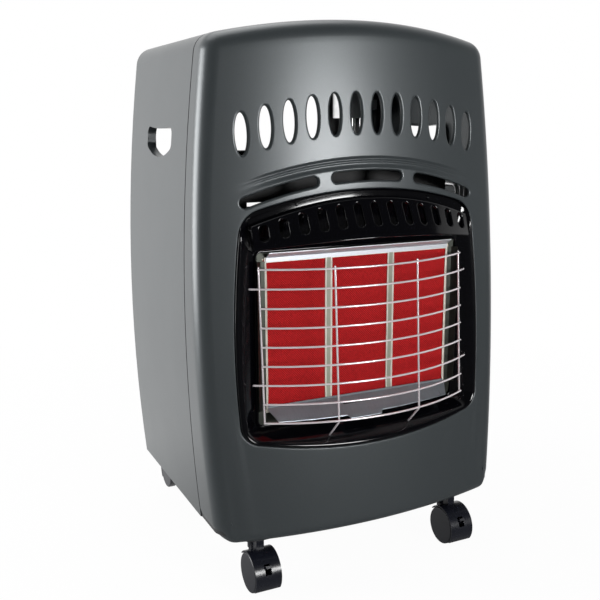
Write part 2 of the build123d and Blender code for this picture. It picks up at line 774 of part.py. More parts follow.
for name, side in (("side_reflector_left", -1), ("side_reflector_right", 1)):
    with BuildPart() as strip:
        with BuildSketch(Plane.XY.offset(frame_low_z - 2)):
            with BuildLine():
                Polyline((side * 139, frame_front_y - seat_gap), (side * 145, frame_front_y - seat_gap),
                         (side * 152, frame_front_y - 6), (side * 151.2, frame_front_y - 6.6),
                         (side * 144.6, frame_front_y - seat_gap - 1),
                         (side * 139, frame_front_y - seat_gap - 1), close=True)
            make_face()
        extrude(amount=window_height + 4)
    strip.part.label = name
    export_step(strip.part, f"parts/{name}.step")

# heat shield between the burner and the gas bottle
with BuildPart() as heat_shield:
    with Locations((0, shield_y, tray_deck_z)):
        Box(2 * shield_half_width, sheet, shield_top_z - tray_deck_z,
            align=(Align.CENTER, Align.MIN, Align.MIN))
        Box(2 * shield_half_width, shield_foot, sheet, align=(Align.CENTER, Align.MIN, Align.MIN))
    with Locations((0, shield_y, shield_top_z)):
        Box(2 * shield_half_width, 22, sheet, align=(Align.CENTER, Align.MAX, Align.MAX))
    for side in (-1, 1):
        with Locations((side * shield_half_width, shield_y, tray_deck_z)):
            Box(sheet, 16, shield_top_z - tray_deck_z,
                align=(Align.CENTER, Align.MIN, Align.MIN))
    with Locations(*[(x, shield_y, z) for x in (-120, -60, 0, 60, 120) for z in (480, 510)]):
        Box(36, 10, 5, mode=Mode.SUBTRACT)
heat_shield.part.label = "heat_shield"
export_step(heat_shield.part, "parts/heat_shield.step")

# base tray: pressed pan for the gas bottle with a deck and lip inside the cabinet
with BuildPart() as tray_deck:
    add(cabinet_layer(sheet + fit_gap, sheet + fit_gap + tray_sheet, front_bottom, front_bottom - 10))
    with BuildSketch(Plane.XY.offset(tray_deck_z - tray_sheet)):
        Rectangle(600, 600)
    extrude(amount=tray_lip_z - tray_deck_z + tray_sheet, mode=Mode.INTERSECT)
    with Locations((0, 120, 0)):
        Box(2 * rear_opening_half, 300, 400, align=(Align.CENTER, Align.MIN, Align.CENTER),
            mode=Mode.SUBTRACT)

with BuildPart() as tray_floor:
    add(cabinet_block(sheet + fit_gap, front_bottom))
    with BuildSketch(Plane.XY.offset(tray_deck_z - tray_sheet)):
        Rectangle(600, 600)
    extrude(amount=tray_sheet, mode=Mode.INTERSECT)

with BuildPart() as base_tray:
    add(tray_floor.part)
    add(tray_deck.part)
    add(tray_outline(Plane.XY.offset(tray_floor_z), 0))
    extrude(amount=tray_deck_z - tray_floor_z, dir=(0, 0, 1))
    add(tray_outline(Plane.XY.offset(tray_floor_z + tray_sheet), -tray_sheet))
    extrude(amount=60, dir=(0, 0, 1), mode=Mode.SUBTRACT)
    with BuildSketch(Plane.XY.offset(tray_floor_z + tray_sheet)):
        with Locations((0, bottle_y)):
            Circle(bottle_ring_radius + 4)
            Circle(bottle_ring_radius, mode=Mode.SUBTRACT)
    extrude(amount=4)
    with BuildSketch(Plane.XY.offset(tray_deck_z)):
        with Locations((0, tray_front_y + 0.5)):
            Rectangle(2 * tray_half_width - 1, shield_y + shield_foot + 3 - tray_front_y,
                      align=(Align.CENTER, Align.MIN))
    extrude(amount=-tray_sheet)
    for x in (-caster_x, caster_x):
        for y in (caster_front_y, caster_rear_y):
            with Locations((x, y, tray_floor_z)):
                Cylinder(stem_peg_radius + fit_gap, 20, mode=Mode.SUBTRACT)
    with Locations(*[(x, bottle_y + y, tray_floor_z) for x in (-60, 0, 60) for y in (-50, 0, 50)]):
        Box(40, 6, 12, mode=Mode.SUBTRACT)
    for x in (-tray_screw_x, tray_screw_x):
        with Locations(Plane(origin=(x, rear_y, tray_screw_z), z_dir=(0, 1, 0))):
            Cylinder(screw_radius + fit_gap, 10, mode=Mode.SUBTRACT)
base_tray.part.label = "base_tray"
export_step(base_tray.part, "parts/base_tray.step")

# rear cover: deep-drawn door over the lower rear, hanging on the rim of the tray
cover_clear = 1.6
with BuildPart() as rear_cover:
    add(tray_outline(Plane.XY.offset(cover_foot_z), cover_clear + sheet))
    extrude(amount=cover_top_z - cover_foot_z, dir=(0, 0, 1))
    add(tray_outline(Plane.XY.offset(cover_foot_z), cover_clear))
    extrude(amount=cover_top_z - cover_foot_z - sheet, dir=(0, 0, 1), mode=Mode.SUBTRACT)
    add(tray_outline(Plane.XY.offset(tray_deck_z + fit_gap), cover_clear + sheet / 2))
    extrude(amount=sheet, dir=(0, 0, 1))
    add(tray_outline(Plane.XY.offset(tray_deck_z + fit_gap), -cover_lip))
    extrude(amount=2, dir=(0, 0, 1), mode=Mode.SUBTRACT)
    with Locations((0, rear_y + cover_gap, 0)):
        Box(600, 800, 1200, align=(Align.CENTER, Align.MAX, Align.CENTER), mode=Mode.SUBTRACT)
    with BuildSketch(Plane.XZ.offset(-rear_y - cover_gap)):
        with Locations((0, cover_flange_z)):
            Rectangle(2 * cover_flange_half, cover_top_z + cover_flange_rise - cover_flange_z,
                      align=(Align.CENTER, Align.MIN))
            Rectangle(2 * (tray_half_width + cover_clear), cover_top_z - sheet - cover_flange_z,
                      align=(Align.CENTER, Align.MIN), mode=Mode.SUBTRACT)
        fillet(vertices().sort_by(Axis.Y)[-2:], 8)
    extrude(amount=-sheet)
    with Locations(*[(x, tray_rear_y, z) for x in (-90, 0, 90) for z in (150, 170, 190, 210)]):
        Box(70, 60, 6, mode=Mode.SUBTRACT)
    with Locations((0, tray_rear_y, 430)):
        Box(96, 60, 24, mode=Mode.SUBTRACT)
rear_cover.part.label = "rear_cover"
export_step(rear_cover.part, "parts/rear_cover.step")

# injector rail: angle bracket on the tray deck carrying the three injectors
with BuildPart() as injector_rail:
    with Locations((0, venturi_y, rail_z)):
        Box(2 * rail_half_x, rail_depth, box_sheet, align=(Align.CENTER, Align.CENTER, Align.MIN))
    with Locations((0, venturi_y - rail_depth / 2, tray_deck_z)):
        Box(2 * rail_half_x, box_sheet, rail_z - tray_deck_z + box_sheet,
            align=(Align.CENTER, Align.MIN, Align.MIN))
        Box(2 * rail_half_x, 12, box_sheet, align=(Align.CENTER, Align.MIN, Align.MIN))
    for place in (-1, 0, 1):
        with Locations((place * plaque_step, venturi_y, rail_z)):
            Cylinder(injector_neck_radius + fit_gap, 20, mode=Mode.SUBTRACT)
injector_rail.part.label = "injector_rail"
export_step(injector_rail.part, "parts/injector_rail.step")

# brass injectors, hexagon under the rail and jet above it
for name, place in (("injector_left", -1), ("injector_centre", 0), ("injector_right", 1)):
    with BuildPart() as injector:
        with BuildSketch(Plane.XY.offset(injector_z - injector_hex)):
            with Locations((place * plaque_step, venturi_y)):
                RegularPolygon(injector_hex, 6)
        extrude(amount=rail_z - fit_gap - injector_z + injector_hex)
        with Locations((place * plaque_step, venturi_y, rail_z - 1)):
            Cylinder(injector_neck_radius, 18, align=(Align.CENTER, Align.CENTER, Align.MIN))
        chamfer(injector.edges().group_by(Axis.Z)[-1], 1.5)
        with Locations((place * plaque_step, venturi_y, rail_z)):
            Cylinder(0.8, 60, mode=Mode.SUBTRACT)
        with Locations(Plane(origin=(place * plaque_step + injector_hex, venturi_y, injector_z),
                             z_dir=(1, 0, 0))):
            Cylinder(tube_radius + fit_gap, 6, mode=Mode.SUBTRACT)
    injector.part.label = name
    export_step(injector.part, f"parts/{name}.step")

# feed tubes from the valve outlets round the right-hand side to the injectors
for name, lane in (("feed_tube_right", 0), ("feed_tube_centre", 1), ("feed_tube_left", 2)):
    drop_x = valve_port_x + (1 - lane) * valve_port_pitch
    run_z = tube_high_z - lane * tube_lane
    lane_y = venturi_y + lane * tube_lane
    port_x = (1 - lane) * plaque_step + injector_hex - 2.5
    with BuildPart() as tube:
        with BuildLine() as path:
            if lane == 0:
                FilletPolyline((drop_x, valve_port_y, valve_low_z), (drop_x, valve_port_y, run_z),
                               (tube_side_x, valve_port_y, run_z), (tube_side_x, lane_y, run_z),
                               (tube_side_x, lane_y, injector_z), (port_x, lane_y, injector_z),
                               radius=tube_bend)
            else:
                FilletPolyline((drop_x, valve_port_y, valve_low_z), (drop_x, valve_port_y, run_z),
                               (tube_side_x, valve_port_y, run_z), (tube_side_x, lane_y, run_z),
                               (tube_side_x, lane_y, injector_z), (port_x + 40, lane_y, injector_z),
                               (port_x + 16, venturi_y, injector_z), (port_x, venturi_y, injector_z),
                               radius=tube_bend)
        with BuildSketch(Plane(origin=path.line @ 0, z_dir=path.line % 0)):
            Circle(tube_radius)
        sweep(path=path.line)
    tube.part.label = name
    export_step(tube.part, f"parts/{name}.step")

# gas valve: cast body with the hose inlet beside it and three outlets underneath
with BuildPart() as gas_valve:
    with Locations((knob_x, valve_front_y, valve_low_z)):
        Box(46, valve_rear_y - valve_front_y, 40, align=(Align.CENTER, Align.MIN, Align.MIN))
    fillet(gas_valve.edges().filter_by(Axis.Z), 5)
    with Locations(Plane(origin=(knob_x, valve_rear_y, knob_z), z_dir=(0, 1, 0))):
        Cylinder(11, control_plate_y - seat_gap - valve_rear_y,
                 align=(Align.CENTER, Align.CENTER, Align.MIN))
    with Locations((inlet_x, inlet_y, knob_z)):
        Box(24, 16, 16)
        Cylinder(6, 18, align=(Align.CENTER, Align.CENTER, Align.MAX))
        with Locations((0, 0, -16)):
            Cylinder(inlet_radius, inlet_length, align=(Align.CENTER, Align.CENTER, Align.MAX))
        for ring in range(3):
            with Locations((0, 0, -20 - ring * 6)):
                Cone(inlet_radius - 0.8, inlet_radius, 5,
                     align=(Align.CENTER, Align.CENTER, Align.MAX))
        Cylinder(2.2, 90, mode=Mode.SUBTRACT)
    with Locations(Plane(origin=(knob_x, control_plate_y, knob_z), z_dir=(0, 1, 0))):
        Cylinder(shaft_radius + 0.08, 2 * shaft_depth, mode=Mode.SUBTRACT)
    for lane in range(3):
        with Locations((valve_port_x + (1 - lane) * valve_port_pitch, valve_port_y, valve_low_z)):
            Cylinder(tube_radius + fit_gap, 8, mode=Mode.SUBTRACT)
gas_valve.part.label = "gas_valve"
export_step(gas_valve.part, "parts/gas_valve.step")

# control plate: folded bracket inside the rear frame carrying the valve and the igniter
with BuildPart() as control_plate:
    with Locations(((plate_left_x + plate_right_x) / 2, control_plate_y, plate_low_z)):
        Box(plate_right_x - plate_left_x, sheet, plate_high_z - plate_low_z,
            align=(Align.CENTER, Align.MIN, Align.MIN))
        Box(plate_right_x - plate_left_x, 12, sheet, align=(Align.CENTER, Align.MAX, Align.MIN))
    with Locations((plate_left_x, control_plate_y + sheet, plate_low_z)):
        Box(sheet, 14, plate_high_z - plate_low_z - 8, align=(Align.MIN, Align.MAX, Align.MIN))
    with Locations(Plane(origin=(knob_x, control_plate_y, knob_z), z_dir=(0, 1, 0))):
        Cylinder(shaft_radius + 2, 10, mode=Mode.SUBTRACT)
    with Locations(Plane(origin=(knob_x, control_plate_y, button_z), z_dir=(0, 1, 0))):
        Cylinder(igniter_radius - 1, 10, mode=Mode.SUBTRACT)
    for z in plate_screw_z:
        with Locations(Plane(origin=(plate_screw_x, control_plate_y, z), z_dir=(0, 1, 0))):
            Cylinder(screw_radius + fit_gap, 10, mode=Mode.SUBTRACT)
control_plate.part.label = "control_plate"
export_step(control_plate.part, "parts/control_plate.step")

# valve stem: pushed in to light the pilot, carries the control knob
stem_end_y = knob_base_y + knob_height - 4
with BuildPart() as valve_stem:
    with Locations(Plane(origin=(knob_x, stem_end_y, knob_z), z_dir=(0, 1, 0))):
        Cylinder(shaft_radius, stem_end_y - control_plate_y + shaft_depth - knob_push - 1,
                 align=(Align.CENTER, Align.CENTER, Align.MAX))
valve_stem.part.label = "valve_stem"
export_step(valve_stem.part, "parts/valve_stem.step")

# control knob: fluted skirt with a raised grip bar, turning on the stem
with BuildPart() as control_knob:
    with Locations(Plane(origin=(knob_x, knob_base_y, knob_z), x_dir=(1, 0, 0),
                         z_dir=(0, 1, 0))):
        Cylinder(knob_radius, 6, align=(Align.CENTER, Align.CENTER, Align.MIN))
        Cylinder(knob_radius - 4, 10, align=(Align.CENTER, Align.CENTER, Align.MIN))
        Box(9, 2 * knob_radius - 4, knob_height, align=(Align.CENTER, Align.CENTER, Align.MIN))
    fillet(control_knob.edges().group_by(Axis.Y)[-1], 1.5)
    with Locations(Plane(origin=(knob_x, knob_base_y, knob_z), z_dir=(0, 1, 0))):
        Cylinder(shaft_radius + 0.06, knob_height - 3.9,
                 align=(Align.CENTER, Align.CENTER, Align.MIN), mode=Mode.SUBTRACT)
control_knob.part.label = "control_knob"
export_step(control_knob.part, "parts/control_knob.step")

# piezo igniter: barrel behind the plate, hexagon nut outside, spring button in its bore
button_out_y = control_plate_y + sheet + 13
with BuildPart() as igniter_body:
    with Locations(Plane(origin=(knob_x, control_plate_y - fit_gap, button_z), z_dir=(0, 1, 0))):
        Cylinder(igniter_radius, 40, align=(Align.CENTER, Align.CENTER, Align.MAX))
        Cylinder(igniter_radius - 1.2, sheet + 5, align=(Align.CENTER, Align.CENTER, Align.MIN))
        with Locations((0, 0, -8)):
            Cylinder(button_radius + 0.1, 40, align=(Align.CENTER, Align.CENTER, Align.MIN),
                     mode=Mode.SUBTRACT)
igniter_body.part.label = "igniter_body"
export_step(igniter_body.part, "parts/igniter_body.step")

with BuildPart() as igniter_nut:
    with BuildSketch(Plane.XZ.offset(-(control_plate_y + sheet + fit_gap))):
        with Locations((knob_x, button_z)):
            RegularPolygon(igniter_radius + 3, 6)
            Circle(igniter_radius - 1.15, mode=Mode.SUBTRACT)
    extrude(amount=-3)
igniter_nut.part.label = "igniter_nut"
export_step(igniter_nut.part, "parts/igniter_nut.step")

with BuildPart() as igniter_button:
    with Locations(Plane(origin=(knob_x, button_out_y, button_z), z_dir=(0, 1, 0))):
        Cylinder(button_radius, 13 + sheet, align=(Align.CENTER, Align.CENTER, Align.MAX))
    fillet(igniter_button.edges().group_by(Axis.Y)[-1], 1)
igniter_button.part.label = "igniter_button"
export_step(igniter_button.part, "parts/igniter_button.step")

# pilot group under the tray slot: bracket, pilot burner, thermocouple and spark electrode
shelf_front_y = frame_front_y - 23.5
shelf_top_z = pilot_shelf_z + sheet
bracket_back_y = mount_front_y - seat_gap
with BuildPart() as pilot_bracket:
    with BuildSketch(Plane.YZ.offset(pilot_x - pilot_length / 2)):
        with BuildLine():
            Polyline((bracket_back_y, pilot_shelf_z), (shelf_front_y, pilot_shelf_z),
                     (shelf_front_y, shelf_top_z), (bracket_back_y - sheet, shelf_top_z),
                     (bracket_back_y - sheet, pilot_shelf_z + 9.5),
                     (bracket_back_y, pilot_shelf_z + 9.5), close=True)
        make_face()
    extrude(amount=pilot_length)
pilot_bracket.part.label = "pilot_bracket"
export_step(pilot_bracket.part, "parts/pilot_bracket.step")

with BuildPart() as pilot_burner:
    with Locations(Plane(origin=(pilot_x - 18, frame_front_y - 11.5, shelf_top_z + 3.7),
                         z_dir=(1, 0, 0))):
        Cylinder(3.6, 20, align=(Align.CENTER, Align.CENTER, Align.MIN))
        Cylinder(2.4, 27, align=(Align.CENTER, Align.CENTER, Align.MIN))
        Cylinder(1.6, 60, align=(Align.CENTER, Align.CENTER, Align.MIN), mode=Mode.SUBTRACT)
pilot_burner.part.label = "pilot_burner"
export_step(pilot_burner.part, "parts/pilot_burner.step")

with BuildPart() as thermocouple:
    with Locations(Plane(origin=(pilot_x - 16, frame_front_y - 5, shelf_top_z + 1.8),
                         z_dir=(1, 0, 0))):
        Cylinder(1.7, 34, align=(Align.CENTER, Align.CENTER, Align.MIN))
    fillet(thermocouple.edges().group_by(Axis.X)[-1], 1.5)
thermocouple.part.label = "thermocouple"
export_step(thermocouple.part, "parts/thermocouple.step")

with BuildPart() as spark_electrode:
    with Locations(Plane(origin=(pilot_x - 20, frame_front_y - 19, shelf_top_z + 2.4),
                         z_dir=(1, 0, 0))):
        Cylinder(2.3, 24, align=(Align.CENTER, Align.CENTER, Align.MIN))
        Cylinder(0.8, 33, align=(Align.CENTER, Align.CENTER, Align.MIN))
spark_electrode.part.label = "spark_electrode"
export_step(spark_electrode.part, "parts/spark_electrode.step")

# tip-over switch standing on the tray deck
with BuildPart() as tilt_switch:
    with Locations((-shield_half_width + 20, venturi_y, tray_deck_z + fit_gap)):
        Box(24, 24, 26, align=(Align.CENTER, Align.CENTER, Align.MIN))
        Box(36, 14, 2, align=(Align.CENTER, Align.CENTER, Align.MIN))
tilt_switch.part.label = "tilt_switch"
export_step(tilt_switch.part, "parts/tilt_switch.step")

# screws of the rear frame: casing to tray and control plate to casing
with BuildPart() as tray_screws:
    for x in (-tray_screw_x, tray_screw_x):
        with Locations(Plane(origin=(x, rear_y, tray_screw_z), z_dir=(0, 1, 0))):
            Cylinder(3, 1.6, align=(Align.CENTER, Align.CENTER, Align.MIN))
            Cylinder(screw_radius, 5, align=(Align.CENTER, Align.CENTER, Align.MAX))
tray_screws.part.label = "tray_screws"
export_step(tray_screws.part, "parts/tray_screws.step")

with BuildPart() as plate_screws:
    for z in plate_screw_z:
        with Locations(Plane(origin=(plate_screw_x, rear_y, z), z_dir=(0, 1, 0))):
            Cylinder(3.8, 1.8, align=(Align.CENTER, Align.CENTER, Align.MIN))
            Cylinder(screw_radius, 5, align=(Align.CENTER, Align.CENTER, Align.MAX))
plate_screws.part.label = "plate_screws"
export_step(plate_screws.part, "parts/plate_screws.step")


# ---------------------------------------------------------------- casters
def caster_parts(name, x, y, ahead, lock):
    """One twin-wheel caster: stem fixed in the tray, swivelling housing with its axle, wheels."""
    axle_y = y + ahead * caster_trail
    boss_top = tray_floor_z - 0.3 - stem_collar
    with BuildPart() as stem:
        with Locations((x, y, tray_floor_z)):
            Cylinder(stem_radius, tray_floor_z - stem_foot_z,
                     align=(Align.CENTER, Align.CENTER, Align.MAX))
            Cylinder(9, stem_collar, align=(Align.CENTER, Align.CENTER, Align.MAX))
            Cylinder(stem_peg_radius, tray_sheet + 3,
                     align=(Align.CENTER, Align.CENTER, Align.MIN))
            with Locations((0, 0, tray_sheet + fit_gap)):
                Cylinder(8.5, 3, align=(Align.CENTER, Align.CENTER, Align.MIN))
    stem.part.label = f"{name}_stem"
    export_step(stem.part, f"parts/{name}_stem.step")

    with BuildPart() as housing:
        with BuildSketch(Plane.YZ):
            with Locations((axle_y, wheel_radius)):
                Circle(hood_radius)
                Circle(wheel_radius + hood_clearance, mode=Mode.SUBTRACT)
            with Locations((axle_y, hood_foot_z)):
                Rectangle(90, 60, align=(Align.CENTER, Align.MAX), mode=Mode.SUBTRACT)
            with Locations((axle_y - ahead * 8, hood_back_z)):
                Rectangle(60, 60, align=(Align.MAX if ahead > 0 else Align.MIN, Align.MAX),
                          mode=Mode.SUBTRACT)
        extrude(amount=wheel_outer_x, both=True)
        with BuildSketch(Plane.YZ):
            with Locations((axle_y, wheel_radius)):
                Circle(hood_radius)
            with Locations((y, boss_top)):
                Rectangle(2 * caster_trail, boss_top - stem_foot_z + 3,
                          align=(Align.CENTER, Align.MAX))
                Rectangle(16, 14, align=(Align.CENTER, Align.MAX))
            with Locations((axle_y, web_foot_z)):
                Rectangle(120, 60, align=(Align.CENTER, Align.MAX), mode=Mode.SUBTRACT)
            with Locations((y - ahead * 8, 0)):
                Rectangle(60, 120, align=(Align.MAX if ahead > 0 else Align.MIN, Align.CENTER),
                          mode=Mode.SUBTRACT)
        extrude(amount=web_half, both=True)
        with Locations((0, y, boss_top)):
            Cylinder(9.5, boss_top - wheel_radius - 25.5,
                     align=(Align.CENTER, Align.CENTER, Align.MAX))
            Cylinder(stem_radius + stem_play, 80, mode=Mode.SUBTRACT)
        with Locations(Plane(origin=(0, axle_y, wheel_radius), z_dir=(1, 0, 0))):
            Cylinder(axle_radius, 2 * (wheel_outer_x - 2.5))
        if lock:
            with BuildSketch(Plane.YZ):
                with BuildLine():
                    Polyline(*lock_pocket(axle_y, ahead), close=True)
                make_face()
            extrude(amount=lock_half + 0.5, both=True, mode=Mode.SUBTRACT)
            with Locations(Plane(origin=(0, *lock_pin(axle_y, ahead)), z_dir=(1, 0, 0))):
                Cylinder(lock_pin_radius + 0.06, 2 * web_half + 2, mode=Mode.SUBTRACT)
    with BuildPart() as housing_placed:
        with Locations((x, 0, 0)):
            add(housing.part)
    housing_placed.part.label = f"{name}_housing"
    export_step(housing_placed.part, f"parts/{name}_housing.step")

    for tag, side in (("wheel_left", -1), ("wheel_right", 1)):
        with BuildPart() as wheel:
            with Locations(Plane(origin=(x + side * wheel_inner_x, axle_y, wheel_radius),
                                 z_dir=(side, 0, 0))):
                Cylinder(wheel_radius, wheel_outer_x - wheel_inner_x,
                         align=(Align.CENTER, Align.CENTER, Align.MIN))
                Cylinder(axle_radius + axle_play, wheel_outer_x - wheel_inner_x - 2.2,
                         align=(Align.CENTER, Align.CENTER, Align.MIN), mode=Mode.SUBTRACT)
            rims = wheel.edges().filter_by(GeomType.CIRCLE)
            fillet(rims.filter_by(lambda e: abs(e.radius - wheel_radius) < 0.1), 2)
        wheel.part.label = f"{name}_{tag}"
        export_step(wheel.part, f"parts/{name}_{tag}.step")

    if lock:
        with BuildPart() as lever:
            with BuildSketch(Plane.YZ):
                with BuildLine():
                    Polyline(*lock_blade(axle_y, ahead), close=True)
                make_face()
            extrude(amount=lock_half, both=True)
            with Locations(Plane(origin=(0, *lock_pin(axle_y, ahead)), z_dir=(1, 0, 0))):
                Cylinder(lock_pin_radius, 2 * web_half - 0.2)
        with BuildPart() as lever_placed:
            with Locations((x, 0, 0)):
                add(lever.part)
        lever_placed.part.label = f"{name}_lock"
        export_step(lever_placed.part, f"parts/{name}_lock.step")


def polar(axle_y, ahead, radius, angle):
    """Point at an angle above the horizontal on the leading side of a caster's axle."""
    return (axle_y + ahead * radius * cos(radians(angle)),
            wheel_radius + radius * sin(radians(angle)))


def lock_pin(axle_y, ahead):
    """Pivot of the lock lever inside the housing's web."""
    return polar(axle_y, ahead, lock_pin_reach, lock_angle)


def lock_blade(axle_y, ahead):
    """Outline of the lock lever: a short bar reaching out through the hood."""
    inner, outer = lock_pin_reach - 3, hood_radius + lock_reach
    return [polar(axle_y, ahead, inner, lock_angle - 6), polar(axle_y, ahead, outer, lock_angle - 3),
            polar(axle_y, ahead, outer, lock_angle + 3), polar(axle_y, ahead, inner, lock_angle + 6)]


def lock_pocket(axle_y, ahead):
    """Opening in web and hood that lets the lock lever tip down by its travel."""
    inner, outer = lock_pin_reach - 5, hood_radius + 8
    return [polar(axle_y, ahead, inner, lock_angle - 26), polar(axle_y, ahead, outer, lock_angle - 18),
            polar(axle_y, ahead, outer, lock_angle + 7), polar(axle_y, ahead, inner, lock_angle + 20)]


caster_parts("caster_front_left", -caster_x, caster_front_y, -1, True)
caster_parts("caster_front_right", caster_x, caster_front_y, -1, True)
caster_parts("caster_rear_left", -caster_x, caster_rear_y, 1, False)
caster_parts("caster_rear_right", caster_x, caster_rear_y, 1, False)
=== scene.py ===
import math

import bmesh
import bpy
import numpy as np
from mathutils import Matrix, Vector


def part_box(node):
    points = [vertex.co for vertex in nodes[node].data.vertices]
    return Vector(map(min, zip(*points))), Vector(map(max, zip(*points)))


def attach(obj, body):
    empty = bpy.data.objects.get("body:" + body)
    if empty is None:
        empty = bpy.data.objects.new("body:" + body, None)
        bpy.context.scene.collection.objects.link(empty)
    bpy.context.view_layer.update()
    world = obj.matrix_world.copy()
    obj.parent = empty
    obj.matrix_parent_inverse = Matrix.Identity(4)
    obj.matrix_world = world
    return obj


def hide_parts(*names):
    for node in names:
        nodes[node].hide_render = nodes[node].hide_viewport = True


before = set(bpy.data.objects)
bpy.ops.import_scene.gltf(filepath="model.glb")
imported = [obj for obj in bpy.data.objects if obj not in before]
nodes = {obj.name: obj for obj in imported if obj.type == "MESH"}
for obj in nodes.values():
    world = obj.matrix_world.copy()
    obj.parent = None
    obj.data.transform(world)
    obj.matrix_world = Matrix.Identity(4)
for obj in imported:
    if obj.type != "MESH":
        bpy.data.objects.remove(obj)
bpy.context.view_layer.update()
scene = bpy.context.scene


# ---------------------------------------- base tray
# A pan pressed from 1.5 mm sheet, powder-coated dark grey. The bottle stands in it,
# the casing is screwed round it and the four casters are riveted under its floor.
def new_material(name, colour, roughness, metallic=0.0):
    """A Principled material with its colour, roughness and metal set; returns it with its tree."""
    material = bpy.data.materials.new(name)
    material.use_nodes = True
    tree = material.node_tree
    shader = tree.nodes["Principled BSDF"]
    shader.inputs["Base Color"].default_value = (*colour, 1.0)
    shader.inputs["Roughness"].default_value = roughness
    shader.inputs["Metallic"].default_value = metallic
    return material, tree, shader


def grain(tree, scale, detail=4.0, stretch=(1.0, 1.0, 1.0)):
    """Noise read at the piece's own place in the object's frame, stretched along an axis."""
    place = tree.nodes.new("ShaderNodeTexCoord")
    turn = tree.nodes.new("ShaderNodeMapping")
    turn.inputs["Scale"].default_value = stretch
    noise = tree.nodes.new("ShaderNodeTexNoise")
    noise.inputs["Scale"].default_value = scale
    noise.inputs["Detail"].default_value = detail
    tree.links.new(place.outputs["Object"], turn.inputs["Vector"])
    tree.links.new(turn.outputs["Vector"], noise.inputs["Vector"])
    return noise.outputs["Fac"]


def spread(tree, value, low, high, start=0.0, stop=1.0):
    """Carries a value that runs from start to stop to the range low to high, or one that runs
    from 0 to 1 to a ramp between two colours."""
    if isinstance(low, tuple):
        ramp = tree.nodes.new("ShaderNodeValToRGB")
        ramp.color_ramp.elements[0].color = (*low, 1.0)
        ramp.color_ramp.elements[1].color = (*high, 1.0)
        ramp.color_ramp.elements[0].position = 0.3
        ramp.color_ramp.elements[1].position = 0.7
        tree.links.new(value, ramp.inputs["Fac"])
        return ramp.outputs["Color"]
    span = tree.nodes.new("ShaderNodeMapRange")
    span.inputs["From Min"].default_value = start
    span.inputs["From Max"].default_value = stop
    span.inputs["To Min"].default_value = low
    span.inputs["To Max"].default_value = high
    tree.links.new(value, span.inputs["Value"])
    return span.outputs["Result"]


def vary(tree, shader, entry, value, low, high):
    """Lets one input of a shader follow a value between low and high."""
    tree.links.new(spread(tree, value, low, high), shader.inputs[entry])


def bump(tree, shader, value, depth, strength=1.0):
    """Adds a height in metres to a shader's normal."""
    raised = tree.nodes.new("ShaderNodeBump")
    raised.inputs["Distance"].default_value = depth
    raised.inputs["Strength"].default_value = strength
    tree.links.new(value, raised.inputs["Height"])
    tree.links.new(raised.outputs["Normal"], shader.inputs["Normal"])


def finish_cad(material, *names):
    """Gives the named solids a finish."""
    for name in names:
        nodes[name].data.materials.clear()
        nodes[name].data.materials.append(material)


def powder_coat(name, colour, roughness=0.42):
    """Baked powder paint: a fine orange peel and slight gloss changes."""
    material, tree, shader = new_material(name, colour, roughness)
    darker = tuple(c * 0.86 for c in colour)
    lighter = tuple(c * 1.12 for c in colour)
    vary(tree, shader, "Roughness", grain(tree, 30.0), roughness - 0.05, roughness + 0.07)
    vary(tree, shader, "Base Color", grain(tree, 11.0), darker, lighter)
    bump(tree, shader, grain(tree, 900.0, 2.0), 0.00002, 0.5)
    return material


finish_cad(powder_coat("tray_paint", (0.030, 0.031, 0.033)), "base_tray", "control_plate")


# ---------------------------------------- casters
# Twin-wheel casters moulded in glossy black plastic, with zinc-plated stems riveted
# through the tray. The two front ones have a small lock lever in the hood.
def moulded_plastic(name, colour, roughness):
    """Injection-moulded plastic with a faint sheen change and a fine spark-eroded grain."""
    material, tree, shader = new_material(name, colour, roughness)
    vary(tree, shader, "Roughness", grain(tree, 60.0), roughness - 0.06, roughness + 0.08)
    bump(tree, shader, grain(tree, 700.0, 2.0), 0.00003, 0.4)
    return material


hood_plastic = moulded_plastic("hood_plastic", (0.007, 0.008, 0.013), 0.26)
wheel_plastic = moulded_plastic("wheel_plastic", (0.010, 0.011, 0.016), 0.34)
zinc, zinc_tree, zinc_shader = new_material("zinc_plate", (0.62, 0.62, 0.60), 0.32, 1.0)
vary(zinc_tree, zinc_shader, "Roughness", grain(zinc_tree, 180.0), 0.26, 0.42)
for corner in ("front_left", "front_right", "rear_left", "rear_right"):
    finish_cad(hood_plastic, f"caster_{corner}_housing")
    finish_cad(wheel_plastic, f"caster_{corner}_wheel_left", f"caster_{corner}_wheel_right")
    finish_cad(zinc, f"caster_{corner}_stem")
finish_cad(wheel_plastic, "caster_front_left_lock", "caster_front_right_lock")


# ---------------------------------------- burner box
# Mixing chambers with welded venturi tubes on a mounting plate, folded from aluminised
# steel and coloured dark grey. Behind them stand the injector rail and a black shield.
def rolled_steel(name, colour, roughness, stretch=(1.0, 1.0, 14.0), metallic=1.0):
    """Mill-finished sheet: fine streaks along the rolling direction."""
    material, tree, shader = new_material(name, colour, roughness, metallic)
    streak = grain(tree, 90.0, 3.0, stretch)
    darker = tuple(c * 0.93 for c in colour)
    lighter = tuple(min(1.0, c * 1.06) for c in colour)
    vary(tree, shader, "Roughness", streak, roughness - 0.07, roughness + 0.10)
    vary(tree, shader, "Base Color", streak, darker, lighter)
    bump(tree, shader, streak, 0.00001, 0.12)
    return material


dark_grey_steel = rolled_steel("dark_grey_strip", (0.07, 0.075, 0.065), 0.42)
finish_cad(dark_grey_steel, "burner_box", "burner_mount_plate", "pilot_bracket")
finish_cad(rolled_steel("aluminised_sheet", (0.50, 0.51, 0.51), 0.38), "injector_rail")
finish_cad(powder_coat("shield_black", (0.010, 0.010, 0.011), 0.6), "heat_shield")


